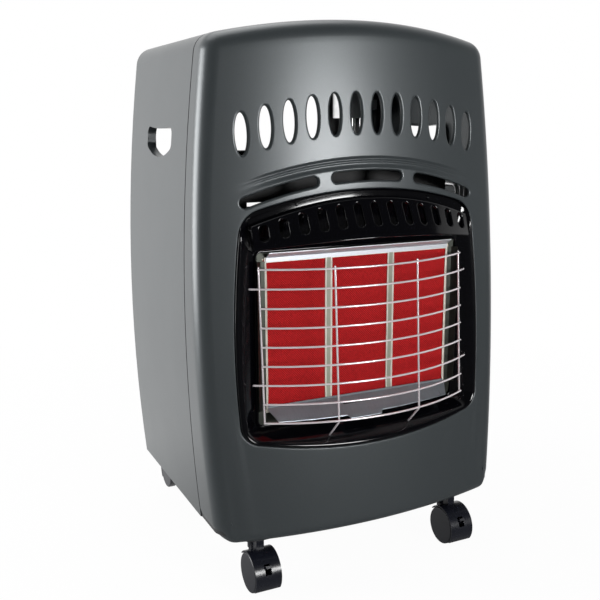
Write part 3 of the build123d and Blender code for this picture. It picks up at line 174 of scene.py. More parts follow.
# ---------------------------------------- gas train
# Cast valve, aluminium feed tubes and brass injectors, screwed together behind the control
# plate. The igniter's plastic body with its red button stands beside the knob.
cast = rolled_steel("cast_aluminium", (0.72, 0.72, 0.72), 0.30, (1.0, 1.0, 1.0))
finish_cad(cast, "gas_valve", "feed_tube_left", "feed_tube_centre", "feed_tube_right")
brass = rolled_steel("turned_brass", (0.72, 0.52, 0.22), 0.24, (1.0, 1.0, 1.0))
finish_cad(brass, "injector_left", "injector_centre", "injector_right", "pilot_burner",
           "valve_stem")
finish_cad(zinc, "thermocouple", "tray_screws", "plate_screws")
glaze, glaze_tree, glaze_shader = new_material("glazed_insulator", (0.82, 0.80, 0.74), 0.2)
vary(glaze_tree, glaze_shader, "Roughness", grain(glaze_tree, 90.0), 0.15, 0.3)
finish_cad(glaze, "spark_electrode")
knob_plastic = moulded_plastic("knob_plastic", (0.016, 0.016, 0.017), 0.45)
finish_cad(knob_plastic, "control_knob", "igniter_body", "igniter_nut", "tilt_switch")
button_red = moulded_plastic("button_red", (0.42, 0.012, 0.012), 0.25)
finish_cad(button_red, "igniter_button")


# ---------------------------------------- plaques
# Pressed and fired ceramic plaques, stained red and pierced with rows of fine holes. They
# lie side by side in the burner box, bedded in a ceramic fibre gasket.
pore_pitch, plaque_middle_z = 3.15, 346.0
plaque_half_width, plaque_half_height, plain_margin = 45.5, 99.5, 1.5
plaque_face_y, plaque_rear_y, pore_depth = -163.0, -150.2, 0.8
plaque_pitch = 30 * pore_pitch


def grid_mesh(name, points, around=False, looped=False, material=None):
    """A surface through a grid of points in millimetres. Its outward side is columns cross
    rows; around joins the last row to the first, looped the last column to the first."""
    rows, columns = points.shape[:2]
    below = np.arange(rows if around else rows - 1)[:, None]
    beside = np.arange(columns if looped else columns - 1)[None, :]
    after, onward = (below + 1) % rows, (beside + 1) % columns
    quads = np.stack([below * columns + beside, below * columns + onward,
                      after * columns + onward, after * columns + beside], -1).reshape(-1, 4)
    mesh = bpy.data.meshes.new(name)
    mesh.vertices.add(rows * columns)
    mesh.vertices.foreach_set("co", (points.reshape(-1) / 1000.0).astype(np.float32))
    mesh.loops.add(quads.size)
    mesh.loops.foreach_set("vertex_index", quads.reshape(-1).astype(np.int32))
    mesh.polygons.add(len(quads))
    mesh.polygons.foreach_set("loop_start", np.arange(0, quads.size, 4, dtype=np.int32))
    mesh.update(calc_edges=True)
    mesh.validate()
    mesh.shade_smooth()
    if material:
        mesh.materials.append(material)
    piece = bpy.data.objects.new(name, mesh)
    scene.collection.objects.link(piece)
    return piece


def close_up(block, piece):
    """Closes a block's open edges with flat faces, turns it outwards and makes it the piece's."""
    bmesh.ops.holes_fill(block, edges=[e for e in block.edges if e.is_boundary], sides=0)
    bmesh.ops.recalc_face_normals(block, faces=block.faces)
    block.to_mesh(piece.data)
    block.free()


def pierced_plaque(name, middle, material):
    """A plaque with its pierced face as a height field over x and z: bowls on a staggered
    lattice, as deep as the root of the positive part of cos(ax) cos(az). Its rim runs back to
    a flat rear."""
    x = np.linspace(-plaque_half_width, plaque_half_width, 171)[None, :]
    z = np.linspace(-plaque_half_height, plaque_half_height, 371)[:, None]
    turn = 2 * math.pi / pore_pitch
    wave = np.cos(turn * x) * np.cos(turn * (z + plaque_middle_z))
    bowl = pore_depth * np.sqrt(np.clip(wave, 0.0, 1.0))
    pierced = ((np.abs(x) < plaque_half_width - plain_margin) &
               (np.abs(z) < plaque_half_height - plain_margin))
    y = plaque_face_y + np.where(pierced, bowl, 0.0)
    points = np.stack(np.broadcast_arrays(middle + x, y, plaque_middle_z + z), -1)
    piece = grid_mesh(name, points, material=material)
    block = bmesh.new()
    block.from_mesh(piece.data)
    rim = [edge for edge in block.edges if edge.is_boundary]
    grown = bmesh.ops.extrude_edge_only(block, edges=rim)["geom"]
    for vertex in (item for item in grown if isinstance(item, bmesh.types.BMVert)):
        vertex.co.y = plaque_rear_y / 1000.0
    close_up(block, piece)
    piece.data.set_sharp_from_angle(angle=math.radians(70.0))
    return piece


def coordinates(tree, kind="Object"):
    """The X, Y and Z that a shader reads at a point: of its place, or of a direction."""
    place = tree.nodes.new("ShaderNodeTexCoord")
    axes = tree.nodes.new("ShaderNodeSeparateXYZ")
    tree.links.new(place.outputs[kind], axes.inputs["Vector"])
    return axes.outputs


def fill(tree, entry, value):
    """Links a socket to an entry of a node, or sets the entry to a plain value."""
    if isinstance(value, bpy.types.NodeSocket):
        tree.links.new(value, entry)
    else:
        entry.default_value = value


def maths(tree, operation, *values):
    """The result of a sum, product or other operation on sockets and numbers."""
    node = tree.nodes.new("ShaderNodeMath")
    node.operation = operation
    for entry, value in zip(node.inputs, values):
        fill(tree, entry, value)
    return node.outputs[0]


def mixed(tree, kind, factor, start, stop):
    """A colour (RGBA) or number (FLOAT) that goes from start to stop as the factor rises."""
    node = tree.nodes.new("ShaderNodeMix")
    node.data_type = kind
    for entry, value in (("Factor", factor), ("A", start), ("B", stop)):
        fill(tree, node.inputs[entry], value)
    return node.outputs["Result"]


plaque_red, plaque_tree, plaque_shader = new_material("plaque_ceramic", (0.36, 0.005, 0.007), 0.8)
plaque_shader.inputs["Specular IOR Level"].default_value = 0.2
pore_turn = 2 * math.pi * 1000.0 / pore_pitch
place = coordinates(plaque_tree)
lattice = [maths(plaque_tree, "COSINE", maths(plaque_tree, "MULTIPLY", place[axis], pore_turn))
           for axis in ("X", "Z")]
crossed = maths(plaque_tree, "MULTIPLY", *lattice)
# Where the lattice peaks, at the bottoms of the bowls, the colour falls to a dark red (0.14, 0.002,
# 0.003): painted shade in the pores.
off_pore_shade = spread(plaque_tree, crossed, 0.0, 1.0, 0.45, -0.15)
clay = spread(plaque_tree, grain(plaque_tree, 320.0, 3.0), (0.36, 0.005, 0.006),
              (0.52, 0.009, 0.011))
plaque_tree.links.new(mixed(plaque_tree, "RGBA", off_pore_shade, (0.14, 0.002, 0.003, 1.0), clay),
                      plaque_shader.inputs["Base Color"])
for name, middle in (("plaque_left", -plaque_pitch), ("plaque_centre", 0.0),
                     ("plaque_right", plaque_pitch)):
    tile = pierced_plaque(f"pierced_{name}", middle, plaque_red)
    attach(tile, "cabinet")
    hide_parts(name)
gasket, gasket_tree, gasket_shader = new_material("ceramic_fibre", (0.62, 0.56, 0.44), 0.9)
vary(gasket_tree, gasket_shader, "Base Color", grain(gasket_tree, 400.0), (0.50, 0.44, 0.34),
     (0.70, 0.64, 0.52))
finish_cad(gasket, "plaque_gasket")


# ---------------------------------------- retaining frame, reflectors
# A cream-enamelled frame with three windows clamps the plaques: a pressed sheet whose two
# uprights are shallow channels. Bright-rolled strips stand over and beside it.
bar_middle, bar_half, channel_depth = 47.25, 4.95, 0.9
frame_half, frame_window = 139.0, 136.5
frame_low, frame_high, frame_y = 243.5, 448.7, -164.4


def window_frame():
    """Points and quads of a sheet with three windows. Across each upright the sheet is a shallow
    channel, which rises with the fourth power of the distance from its middle."""
    bars = [(-frame_half, -frame_window), (-bar_middle - bar_half, bar_half - bar_middle),
            (bar_middle - bar_half, bar_middle + bar_half), (frame_window, frame_half)]
    xs = np.concatenate([np.linspace(low, high, 9) for low, high in bars])
    zs = np.concatenate([[frame_low, 246.0, 250.3], np.linspace(260.0, 432.0, 12),
                         [441.7, 446.0, frame_high]])
    dip = np.concatenate([channel_depth * (1 - np.linspace(-1, 1, 9) ** 4) for _ in bars])
    gx, gz = np.meshgrid(xs, zs)
    upright = np.where((gz > 251.0) & (gz < 441.0), 1.0, 0.0)
    gy = frame_y + dip[None, :] * upright
    rows, columns = gx.shape
    row, column = np.meshgrid(np.arange(rows - 1), np.arange(columns - 1), indexing="ij")
    in_window = (column % 9 == 8) & (row >= 2) & (row < rows - 3)
    corner = (row * columns + column)[~in_window]
    quads = np.stack([corner, corner + 1, corner + columns + 1, corner + columns], -1)
    return np.stack([gx, gy, gz], -1).reshape(-1, 3), quads


def thicken(piece, thickness):
    """Gives a sheet its wall in millimetres, behind the side that its faces look to."""
    wall = piece.modifiers.new("sheet", "SOLIDIFY")
    wall.thickness = thickness / 1000.0
    wall.offset = -1.0


cream_and_shade, cream_tree, cream_shader = new_material("cream_enamel_and_shade", (0.44, 0.41, 0.32), 0.35)
# Within 2.6 mm of each upright's middle line, blending out by 3.4 mm, the colour is a grey-green
# painted shade, the painted shadow in the channel. Elsewhere it is the cream enamel with its random
# tone.
aside = maths(cream_tree, "ABSOLUTE", coordinates(cream_tree)["X"])
from_bar = maths(cream_tree, "ABSOLUTE", maths(cream_tree, "SUBTRACT", aside, bar_middle / 1000.0))
off_channel_shade = spread(cream_tree, from_bar, 0.0, 1.0, 0.0026, 0.0034)
fired = spread(cream_tree, grain(cream_tree, 70.0), (0.56, 0.53, 0.46), (0.70, 0.67, 0.60))
cream_tree.links.new(mixed(cream_tree, "RGBA", off_channel_shade, (0.27, 0.28, 0.22, 1.0), fired),
                     cream_shader.inputs["Base Color"])
points, quads = window_frame()
frame_mesh = bpy.data.meshes.new("window_frame")
frame_mesh.from_pydata((points / 1000.0).tolist(), [], quads.tolist())
frame_mesh.materials.append(cream_and_shade)
window_sheet = bpy.data.objects.new("window_frame", frame_mesh)
scene.collection.objects.link(window_sheet)
thicken(window_sheet, 1.1)
pressed_edge = window_sheet.modifiers.new("edges", "BEVEL")
pressed_edge.width = 0.0003
pressed_edge.segments = 2
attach(window_sheet, "cabinet")
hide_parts("plaque_frame")
bright = rolled_steel("bright_strip", (0.54, 0.56, 0.60), 0.34, (14.0, 1.0, 1.0), 0.65)
finish_cad(bright, "top_reflector")
# The side reflectors take the same dark grey colour.
finish_cad(dark_grey_steel, "side_reflector_left", "side_reflector_right")


# ---------------------------------------- deflector tray
# A strip of bright 1 mm steel that slopes down from the frame, folded at both long edges,
# with a tab over the pilot and one long hole for its flame.
def apply_modifiers(piece):
    """Swaps a piece's mesh for the one its modifiers give, and drops them."""
    bpy.context.view_layer.update()
    graph = bpy.context.evaluated_depsgraph_get()
    finished = bpy.data.meshes.new_from_object(piece.evaluated_get(graph), depsgraph=graph)
    raw = piece.data
    piece.modifiers.clear()
    piece.data = finished
    bpy.data.meshes.remove(raw)


def arc_points(centre, radius, start, stop, count):
    """Points and outward directions along an arc, angles in degrees, last point left out."""
    angle = np.radians(np.linspace(start, stop, count, endpoint=False))
    out = np.stack([np.cos(angle), np.sin(angle)], -1)
    return np.array(centre) + radius * out, out


def joined(name, pieces):
    """Joins pieces into the first of them and names it."""
    bpy.ops.object.select_all(action="DESELECT")
    for piece in pieces:
        piece.select_set(True)
    bpy.context.view_layer.objects.active = pieces[0]
    bpy.ops.object.join()
    pieces[0].name = name
    return pieces[0]


def punch_out(piece, cutters):
    """Cuts the openings that a list of prisms stands for."""
    punch = piece.modifiers.new("punch", "BOOLEAN")
    punch.operation = "DIFFERENCE"
    punch.solver = "MANIFOLD"
    punch.object = joined("punches", cutters)
    apply_modifiers(piece)
    bpy.data.objects.remove(cutters[0])


def cutter(name, edge, place, reach=30.0):
    """A closed prism through a face over an outline, to cut its opening."""
    sides = np.stack([place(edge[:, 0], edge[:, 1], deep) for deep in (-reach, reach)], 1)
    piece = grid_mesh(name, sides, around=True)
    prism = bmesh.new()
    prism.from_mesh(piece.data)
    close_up(prism, piece)
    return piece


def smooth(value, start, stop):
    """0 before start, 1 after stop, with a smooth cubic between."""
    t = np.clip((value - start) / (stop - start), 0.0, 1.0)
    return t * t * (3.0 - 2.0 * t)


tray_back, tray_edge = np.array([-165.55, 250.0]), np.array([-191.4, 230.0])
tray_half = 137.0


def over_tray(x, down, deep):
    """The point of the sloping tray at x and a share down its slope, under its top by deep."""
    run = tray_edge - tray_back
    square = np.array([-run[1], run[0]]) / np.hypot(*run)
    y = tray_back[0] + run[0] * down + square[0] * deep
    z = tray_back[1] + run[1] * down + square[1] * deep
    return np.stack(np.broadcast_arrays(x, y, z), -1)


def tray_front(x):
    """Share of the slope at which the tray's front edge lies: fullest in the middle, shorter
    towards both ends, with a tab over the pilot."""
    tab = 0.16 * (smooth(x, -31.0, -28.0) - smooth(x, 19.0, 22.0))
    return 0.68 + 0.25 * (1.0 - (x / tray_half) ** 2) + tab


def folded_tray():
    """The tray's top side: a narrow flange on the frame, the slope and a short rounded drop,
    with its ends cut on the skew."""
    down = np.concatenate([[-0.16, -0.1, -0.03, 0.0], np.linspace(0.05, 0.96, 20),
                           [0.985, 1.0, 1.0]])[None, :]
    across = np.linspace(-1.0, 1.0, 201)[:, None]
    reach = tray_half - 9.0 * np.clip(down - 0.2, 0.0, 1.0)
    x = across * reach
    points = over_tray(x, np.clip(down, 0.0, 1.0) * tray_front(x), 0.0)
    points[..., 2] += np.broadcast_to(np.clip(-down, 0.0, 1.0) * 15.0, points.shape[:2])
    points[:, -2:, 2] -= np.array([0.3, 1.1])
    return points


def long_hole(x, down, length, width):
    """Outline of a round-ended hole in the tray, x by share of slope."""
    slope = np.hypot(*(tray_edge - tray_back))
    right, _ = arc_points((x + length / 2 - width / 2, 0.0), width / 2, -90.0, 90.0, 12)
    left, _ = arc_points((x - length / 2 + width / 2, 0.0), width / 2, 90.0, 270.0, 12)
    outline = np.concatenate([right, left])
    outline[:, 1] = down + outline[:, 1] / slope
    return outline


tray_steel = rolled_steel("tray_steel", (0.37, 0.42, 0.46), 0.30, (14.0, 1.0, 1.0), 0.8)
deflector = grid_mesh("deflector_sheet", folded_tray(), material=tray_steel)
thicken(deflector, 1.0)
punch_out(deflector, [cutter("tray_cut", long_hole(-2.0, 0.34, 58.0, 3.4), over_tray, 8.0)])
deflector.data.set_sharp_from_angle(angle=math.radians(40.0))
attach(deflector, "cabinet")
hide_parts("deflector_tray")


# ---------------------------------------- burner surround
# One deep pressing in gloss black stove enamel. Its flange lies behind the front panel; a
# rolled rim stands round the opening and the sides fall in to the beaded mouth.
face_radius, lean = 800.0, math.radians(3.7)
face_foot_y, foot_z = -213.3, 80.0
face_axis = face_foot_y - foot_z * math.tan(lean) + face_radius / math.cos(lean)


def face_y(x, z):
    """The leaning face: a cylinder of 800 mm radius whose axis tips back by the lean."""
    return face_axis + z * math.tan(lean) - np.sqrt(face_radius ** 2 - x * x) / math.cos(lean)


def meet(centre_a, radius_a, centre_b, radius_b):
    """The crossing of two circles that lies further towards positive x."""
    a, b = np.array(centre_a, float), np.array(centre_b, float)
    gap = b - a
    reach = np.hypot(*gap)
    along = (radius_a ** 2 - radius_b ** 2 + reach ** 2) / (2 * reach)
    height = math.sqrt(radius_a ** 2 - along ** 2)
    base = a + gap * along / reach
    cross = np.array([-gap[1], gap[0]]) / reach * height
    first, second = base + cross, base - cross
    return first if first[0] > second[0] else second


def bearing(point, centre):
    """Direction of a point from a centre, in degrees."""
    return math.degrees(math.atan2(point[1] - centre[1], point[0] - centre[0]))


# points on each stretch of half an outline
counts = {"foot": 32, "low": 16, "side": 56, "corner": 22, "crown": 58}


def barrel_path(side, top, top_corner, low_corner, floor_line=None, low=None):
    """Closed outline of a barrel shape, anticlockwise from the middle of its bottom: a low
    line or arc, a corner, the side arc, a corner and the crown arc, then the mirror of these.
    side, top and low are pairs of an arc's centre and radius."""
    side_centre, side_r = side
    top_centre, top_r = top
    upper = meet(side_centre, side_r - top_corner, top_centre, top_r - top_corner)
    if low is None:
        lower_z = floor_line + low_corner
        reach = math.sqrt((side_r - low_corner) ** 2 - (lower_z - side_centre[1]) ** 2)
        lower = np.array([side_centre[0] + reach, lower_z])
        xs = np.linspace(0.0, lower[0], counts["foot"], endpoint=False)
        base = np.stack([xs, np.full_like(xs, floor_line)], -1)
        base_out = np.tile([0.0, -1.0], (len(xs), 1))
        start = -90.0
    else:
        low_centre, low_r = low
        lower = meet(low_centre, low_r - low_corner, side_centre, side_r - low_corner)
        start = bearing(lower, low_centre)
        base, base_out = arc_points(low_centre, low_r, -90.0, start, counts["foot"])
    turn = bearing(lower, side_centre)
    corner, corner_out = arc_points(lower, low_corner, start, turn, counts["low"])
    finish = bearing(upper, side_centre)
    flank, flank_out = arc_points(side_centre, side_r, turn, finish, counts["side"])
    crown_turn = bearing(upper, top_centre)
    shoulder, shoulder_out = arc_points(upper, top_corner, finish, crown_turn, counts["corner"])
    crown, crown_out = arc_points(top_centre, top_r, crown_turn, 90.0, counts["crown"])
    half = np.concatenate([base, corner, flank, shoulder, crown])
    half_out = np.concatenate([base_out, corner_out, flank_out, shoulder_out, crown_out])
    last, last_out = np.array([[0.0, top_centre[1] + top_r]]), np.array([[0.0, 1.0]])
    flip = np.array([-1.0, 1.0])
    points = np.concatenate([half, last, half[:0:-1] * flip])
    out = np.concatenate([half_out, last_out, half_out[:0:-1] * flip])
    return points, out


opening_half, opening_widest_z, opening_side_radius = 185.0, 320.0, 1236.0
opening_top, opening_top_radius, opening_top_corner = 531.0, 523.0, 38.0
opening_foot, opening_foot_radius, opening_foot_corner = 193.8, 800.0, 27.0
inner_edge, inner_out = barrel_path(
    ((opening_half - opening_side_radius, opening_widest_z), opening_side_radius),
    ((0.0, opening_top - opening_top_radius), opening_top_radius),
    opening_top_corner, opening_foot_corner,
    low=((0.0, opening_foot + opening_foot_radius), opening_foot_radius))
mouth_half, mouth_low, mouth_high, mouth_corner = 152.0, 226.0, 457.0, 8.0
mouth_y, groove_depth = -163.2, 8.0


def mouth_path(half, low, high, corner):
    """The mouth's rounded rectangle with as many points on each side and corner as the
    barrel outlines have, so that the two can be joined point by point."""
    xs = np.linspace(0.0, half - corner, counts["foot"], endpoint=False)
    base = np.stack([xs, np.full_like(xs, low)], -1)
    first, _ = arc_points((half - corner, low + corner), corner, -90.0, 0.0, counts["low"])
    zs = np.linspace(low + corner, high - corner, counts["side"], endpoint=False)
    flank = np.stack([np.full_like(zs, half), zs], -1)
    second, _ = arc_points((half - corner, high - corner), corner, 0.0, 90.0, counts["corner"])
    xs = np.linspace(half - corner, 0.0, counts["crown"], endpoint=False)
    top = np.stack([xs, np.full_like(xs, high)], -1)
    side = np.concatenate([base, first, flank, second, top])
    return np.concatenate([side, [[0.0, high]], side[:0:-1] * np.array([-1.0, 1.0])])


def surround_pressing():
    """Rings from the hidden flange to the mouth. Distances inwards run along the line from the
    outline to the mouth; the rim is a quarter round standing 2.4 mm proud, which turns to a
    groove 8 mm deep under the visor; the fall is a hyperbola that starts level and ends
    straight; the bead is a round of just under 2 mm radius."""
    mouth = mouth_path(mouth_half, mouth_low, mouth_high, mouth_corner)
    inward = mouth - inner_edge
    width = np.linalg.norm(inward, axis=-1)
    inward = inward / width[:, None]
    crown = smooth(inner_edge[:, 1], 478.0, 506.0)
    turn = np.radians(np.linspace(180.0, 90.0, 8))
    flange = [[-7.0, 1.9], [-0.6, 1.9], [0.3, 1.3]]
    rim = np.stack([3.9 + 3.4 * np.cos(turn), 0.6 - 3.0 * np.sin(turn)], -1)
    rim = np.concatenate([flange, rim])
    groove = np.array(flange + [[0.5, 1.0], [0.8, 1.6], [0.9, 3.0], [1.0, 5.0], [1.1, 6.5],
                                [1.6, 7.6], [2.6, groove_depth], [6.0, groove_depth]])
    section = rim[None] * (1 - crown)[:, None, None] + groove[None] * crown[:, None, None]
    flat = inner_edge[:, None] + inward[:, None] * section[..., :1]
    rings = np.stack([flat[..., 0], face_y(flat[..., 0], flat[..., 1]) + section[..., 1],
                      flat[..., 1]], -1)
    share = np.linspace(0.0, 1.0, 30)[None, 1:]
    start = section[:, -1:, 0]
    along = start + (width[:, None] - start) * share
    ease = 0.20
    fall = (np.sqrt(share ** 2 + ease ** 2) - ease) / (math.sqrt(1 + ease ** 2) - ease)
    wall_xz = inner_edge[:, None] + inward[:, None] * along[..., None]
    wall_y = rings[:, -1:, 1] * (1 - fall) + mouth_y * fall
    wall = np.stack([wall_xz[..., 0], wall_y, wall_xz[..., 1]], -1)
    bend = np.radians(np.linspace(150.0, -80.0, 9))
    bead_xz = mouth[:, None] + inward[:, None] * (0.6 + 1.7 * np.cos(bend))[None, :, None]
    bead_y = np.broadcast_to(mouth_y - 0.4 - 1.9 * np.sin(bend), bead_xz.shape[:2])
    bead = np.stack([bead_xz[..., 0], bead_y, bead_xz[..., 1]], -1)
    return np.concatenate([rings, wall, bead], 1)[:, ::-1]


enamel, enamel_tree, enamel_shader = new_material("black_enamel", (0.0012, 0.0012, 0.0020), 0.10)
vary(enamel_tree, enamel_shader, "Roughness", grain(enamel_tree, 45.0), 0.08, 0.13)
bump(enamel_tree, enamel_shader, grain(enamel_tree, 160.0, 2.0), 0.00003, 0.25)
surround = grid_mesh("surround_pressing", surround_pressing(), around=True, material=enamel)
thicken(surround, 1.0)
apply_modifiers(surround)
surround.data.set_sharp_from_angle(angle=math.radians(60.0))
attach(surround, "cabinet")
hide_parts("burner_surround")


# ---------------------------------------- visor
# A hood of 1.2 mm sheet in the same black enamel, with thirteen slots drawn inwards. Its
# top flange lies in the surround's groove under two screws.
sheet = 1.2
hood_half, flange_height, groove_clearance, flange_lean = 160.0, 7.5, 0.15, 0.6
crest_middle, crest_fall = np.array([-194.0, 520.5]), np.array([19.5, -30.5])
edge_middle, edge_fall = np.array([-220.0, 472.0]), np.array([36.0, -11.5])
hood_slot_pitch, hood_slot_radius, hood_slot_reach = 24.4, 5.5, 1.61
cut_overlap = 0.01


def unit(vectors):
    """Vectors scaled to length one."""
    return vectors / np.linalg.norm(vectors, axis=-1, keepdims=True)


def drawn_rim(edge, out, reach, depth, place):
    """A sheet rim drawn inwards round an opening: a quarter round of the given reach that
    runs from the face to the opening's wall, and the same back again one sheet inside.
    place turns two face coordinates and a depth under the face into points."""
    turn = np.radians(np.linspace(0.0, 90.0, 7))
    front_grow, front_deep = reach * (1 - np.sin(turn)), reach * (1 - np.cos(turn))
    inner = reach - sheet
    back_grow = reach - inner * np.sin(turn[::-1])
    back_deep = reach - inner * np.cos(turn[::-1])
    grow = np.concatenate([front_grow, [0.0, sheet], back_grow])
    deep = np.concatenate([front_deep, [reach + depth, reach + depth], back_deep])
    ring = edge[:, None] + out[:, None] * grow[None, :, None]
    return place(ring[..., 0], ring[..., 1], deep[None, :])[:, ::-1]


def crest_line(x):
    """Y and Z of the hood's upper bend, a parabola in x."""
    return crest_middle + crest_fall * ((x / hood_half) ** 2)[..., None]


def edge_line(x):
    """Y and Z of the hood's lower front edge, a parabola in x."""
    return edge_middle + edge_fall * ((x / hood_half) ** 2)[..., None]


def bend_between(before, corner, after, radius, count=6):
    """A corner of a folded section, rounded by a quadratic curve that starts and ends a
    radius away from it."""
    start = corner + radius * unit(before - corner)
    stop = corner + radius * unit(after - corner)
    t = np.linspace(0.0, 1.0, count)[None, :, None]
    return (1 - t) ** 2 * start[:, None] + 2 * t * (1 - t) * corner[:, None] + t * t * stop[:, None]


def hood_section():
    """The hood's outer side, station by station across: flange, top, slope and returned edge."""
    x = np.linspace(-hood_half, hood_half, 161)
    crest, edge = crest_line(x), edge_line(x)
    root_z, top_z = crest[:, 1], crest[:, 1] + flange_height
    seat = groove_depth - groove_clearance - sheet
    root = np.stack([face_y(x, root_z) + seat, root_z], -1)
    flange = np.stack([face_y(x, top_z) + seat - flange_lean, top_z], -1)
    lip = edge + np.array([5.0, -1.0])
    down = np.linspace(0.06, 0.94, 12)[None, :, None]
    slope = crest[:, None] * (1 - down) + edge[:, None] * down
    section = np.concatenate([flange[:, None], bend_between(flange, root, crest, 1.5),
                              bend_between(root, crest, edge, 2.4, 8), slope,
                              bend_between(crest, edge, lip, 1.6, 8), lip[:, None]], 1)
    xs = np.broadcast_to(x[:, None], section.shape[:2])
    return np.concatenate([xs[..., None], section], -1)


def on_hood(x, up, deep):
    """The point of the hood's slope at x and a distance up it from its slots' middle line,
    set under its surface by deep."""
    crest, edge = crest_line(x), edge_line(x)
    slope = np.linalg.norm(edge - crest, axis=-1)
    share = 0.40 - up / slope
    point = crest * (1 - share)[..., None] + edge * share[..., None]
    fall = (edge - crest) / slope[..., None]
    step = crest_line(x + 0.5) * (1 - share)[..., None] + edge_line(x + 0.5) * share[..., None]
    sweep = (step - point) / 0.5
    out = np.stack([fall[..., 0] * sweep[..., 1] - fall[..., 1] * sweep[..., 0],
                    fall[..., 1], -fall[..., 0]], -1)
    place = np.stack([np.broadcast_to(x, point.shape[:-1]), point[..., 0], point[..., 1]], -1)
    return place - unit(out) * np.asarray(deep)[..., None]


def hood_slot(x, grow=0.0):
    """Outline of an upright round-ended slot, 11 mm by about 33 mm, grown outwards."""
    crest, edge = crest_line(np.array(x)), edge_line(np.array(x))
    straight = 0.30 * float(np.linalg.norm(edge - crest)) - hood_slot_radius
    upper, upper_out = arc_points((x, straight), hood_slot_radius, 0.0, 180.0, 16)
    lower, lower_out = arc_points((x, -straight), hood_slot_radius, 180.0, 360.0, 16)
    out = np.concatenate([upper_out, lower_out])
    return np.concatenate([upper, lower]) + grow * out, out


hood = grid_mesh("hood_sheet", hood_section(), material=enamel)
thicken(hood, sheet)
hood_slots = [(i - 6) * hood_slot_pitch for i in range(13)]
cut_grow = hood_slot_reach - cut_overlap
punch_out(hood, [cutter(f"hood_cut_{i}", hood_slot(x, cut_grow)[0], on_hood, 7.0)
                 for i, x in enumerate(hood_slots)])
hood_rims = [grid_mesh(f"hood_rim_{i}", drawn_rim(*hood_slot(x), hood_slot_reach, 2.4, on_hood),
                       True, True, enamel) for i, x in enumerate(hood_slots)]
hood = joined("hood_sheet", [hood] + hood_rims)
hood.data.set_sharp_from_angle(angle=math.radians(50.0))
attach(hood, "cabinet")
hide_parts("visor")


def screw_dome(x, y, z):
    """Head of a screw square to the sheet: a lathe profile of a dome over a wall, closed on
    its axis at both ends."""
    head_radius, dome_height, head_height = 2.6, 1.4, 2.6
    turn = np.radians(np.linspace(90.0, 0.0, 9))
    radius = np.concatenate([head_radius * np.cos(turn), [head_radius, 0.0]])
    height = np.concatenate([dome_height * (np.sin(turn) - 1.0), [-head_height, -head_height]])
    out = unit(np.array([x / face_radius, -1.0, math.tan(lean)]))
    side = unit(np.cross(out, (0.0, 0.0, 1.0)))
    up = np.cross(side, out)
    angle = np.linspace(0.0, 2 * math.pi, 24, endpoint=False)
    ring = np.cos(angle)[:, None] * side + np.sin(angle)[:, None] * up
    return (np.array([x, y, z]) + height[:, None, None] * out +
            radius[:, None, None] * ring[None])


screw_x, screw_z = 97.9, 514.6
dome_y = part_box("visor_screws")[0][1] * 1000.0 + 0.5
domes = joined("screw_heads", [
    grid_mesh(f"head_{side}", screw_dome(side * screw_x, dome_y, screw_z),
              looped=True, material=enamel) for side in (-1, 1)])
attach(domes, "cabinet")
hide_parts("visor_screws")


# ---------------------------------------- wire guard
# Nine bowed wires of 2.6 mm, welded to four uprights and chromium plated. Two wires run on
# through the surround's sides and two uprights hook under its mouth.
wire_radius, guard_half, guard_rows, guard_row_pitch = 1.3, 152.0, 9, 24.6
guard_top, guard_height, inner_upright_x, weld_offset = 435.8, 196.8, 61.5, 2.3


def wire(path, across):
    """A round wire along a path in millimetres: circles square to the path, with domed ends
    that close on a point. across is a direction that the path never takes."""
    path = np.asarray(path, float)
    ahead = unit(np.gradient(path, axis=0))
    side = unit(np.cross(ahead, np.asarray(across, float)))
    up = np.cross(ahead, side)
    angle = np.linspace(0.0, 2 * math.pi, 12, endpoint=False)
    ring = np.cos(angle)[:, None] * side[:, None] + np.sin(angle)[:, None] * up[:, None]
    dome = np.radians(np.array([90.0, 60.0, 30.0]))
    first = path[0] - ahead[0] * wire_radius * np.sin(dome)[:, None]
    last = path[-1] + ahead[-1] * wire_radius * np.sin(dome[::-1])[:, None]
    start = first[:, None] + wire_radius * np.cos(dome)[:, None, None] * ring[:1]
    stop = last[:, None] + wire_radius * np.cos(dome[::-1])[:, None, None] * ring[-1:]
    body = path[:, None] + wire_radius * ring
    return np.concatenate([start, body, stop])


def bow(z):
    """Y of the guard's foremost line at height z, and the radius of the arc in plan that
    runs through it and both ends."""
    share = (guard_top - z) / guard_height
    end, front = -175.0 - 13.6 * share, -216.5 - 11.8 * share
    sag = end - front
    return front, (guard_half ** 2 + sag ** 2) / (2 * sag)


def bowed(x, z):
    """Y of the guard at x and z, on the arc that bow gives."""
    front, radius = bow(z)
    return front + radius - np.sqrt(radius ** 2 - x * x)


# The pink tint of this colour is a painted reflection of the red plaques. Its near-white base, half
# of it diffuse, is a painted sheen that keeps the wires bright along their whole length.
chrome_and_painted_reflection, chrome_tree, chrome_shader = new_material("chrome_wire_painted_reflection", (0.90, 0.84, 0.87), 0.20, 0.52)
vary(chrome_tree, chrome_shader, "Roughness", grain(chrome_tree, 220.0), 0.16, 0.24)
wires = []
for row in range(guard_rows):
    height = guard_top - row * guard_row_pitch
    xs = np.linspace(-guard_half, guard_half, 61)
    line = np.stack([xs, bowed(xs, height), np.full_like(xs, height)], -1)
    if row in (1, 6):
        ahead = unit(line[-1] - line[-2])
        tail = line[-1] + ahead * np.linspace(2.0, 12.0, 4)[:, None]
        line = np.concatenate([tail[::-1] * np.array([-1.0, 1.0, 1.0]), line, tail])
    wires.append(grid_mesh(f"row_{row}", wire(line, (0, 0, 1)), looped=True, material=chrome_and_painted_reflection))
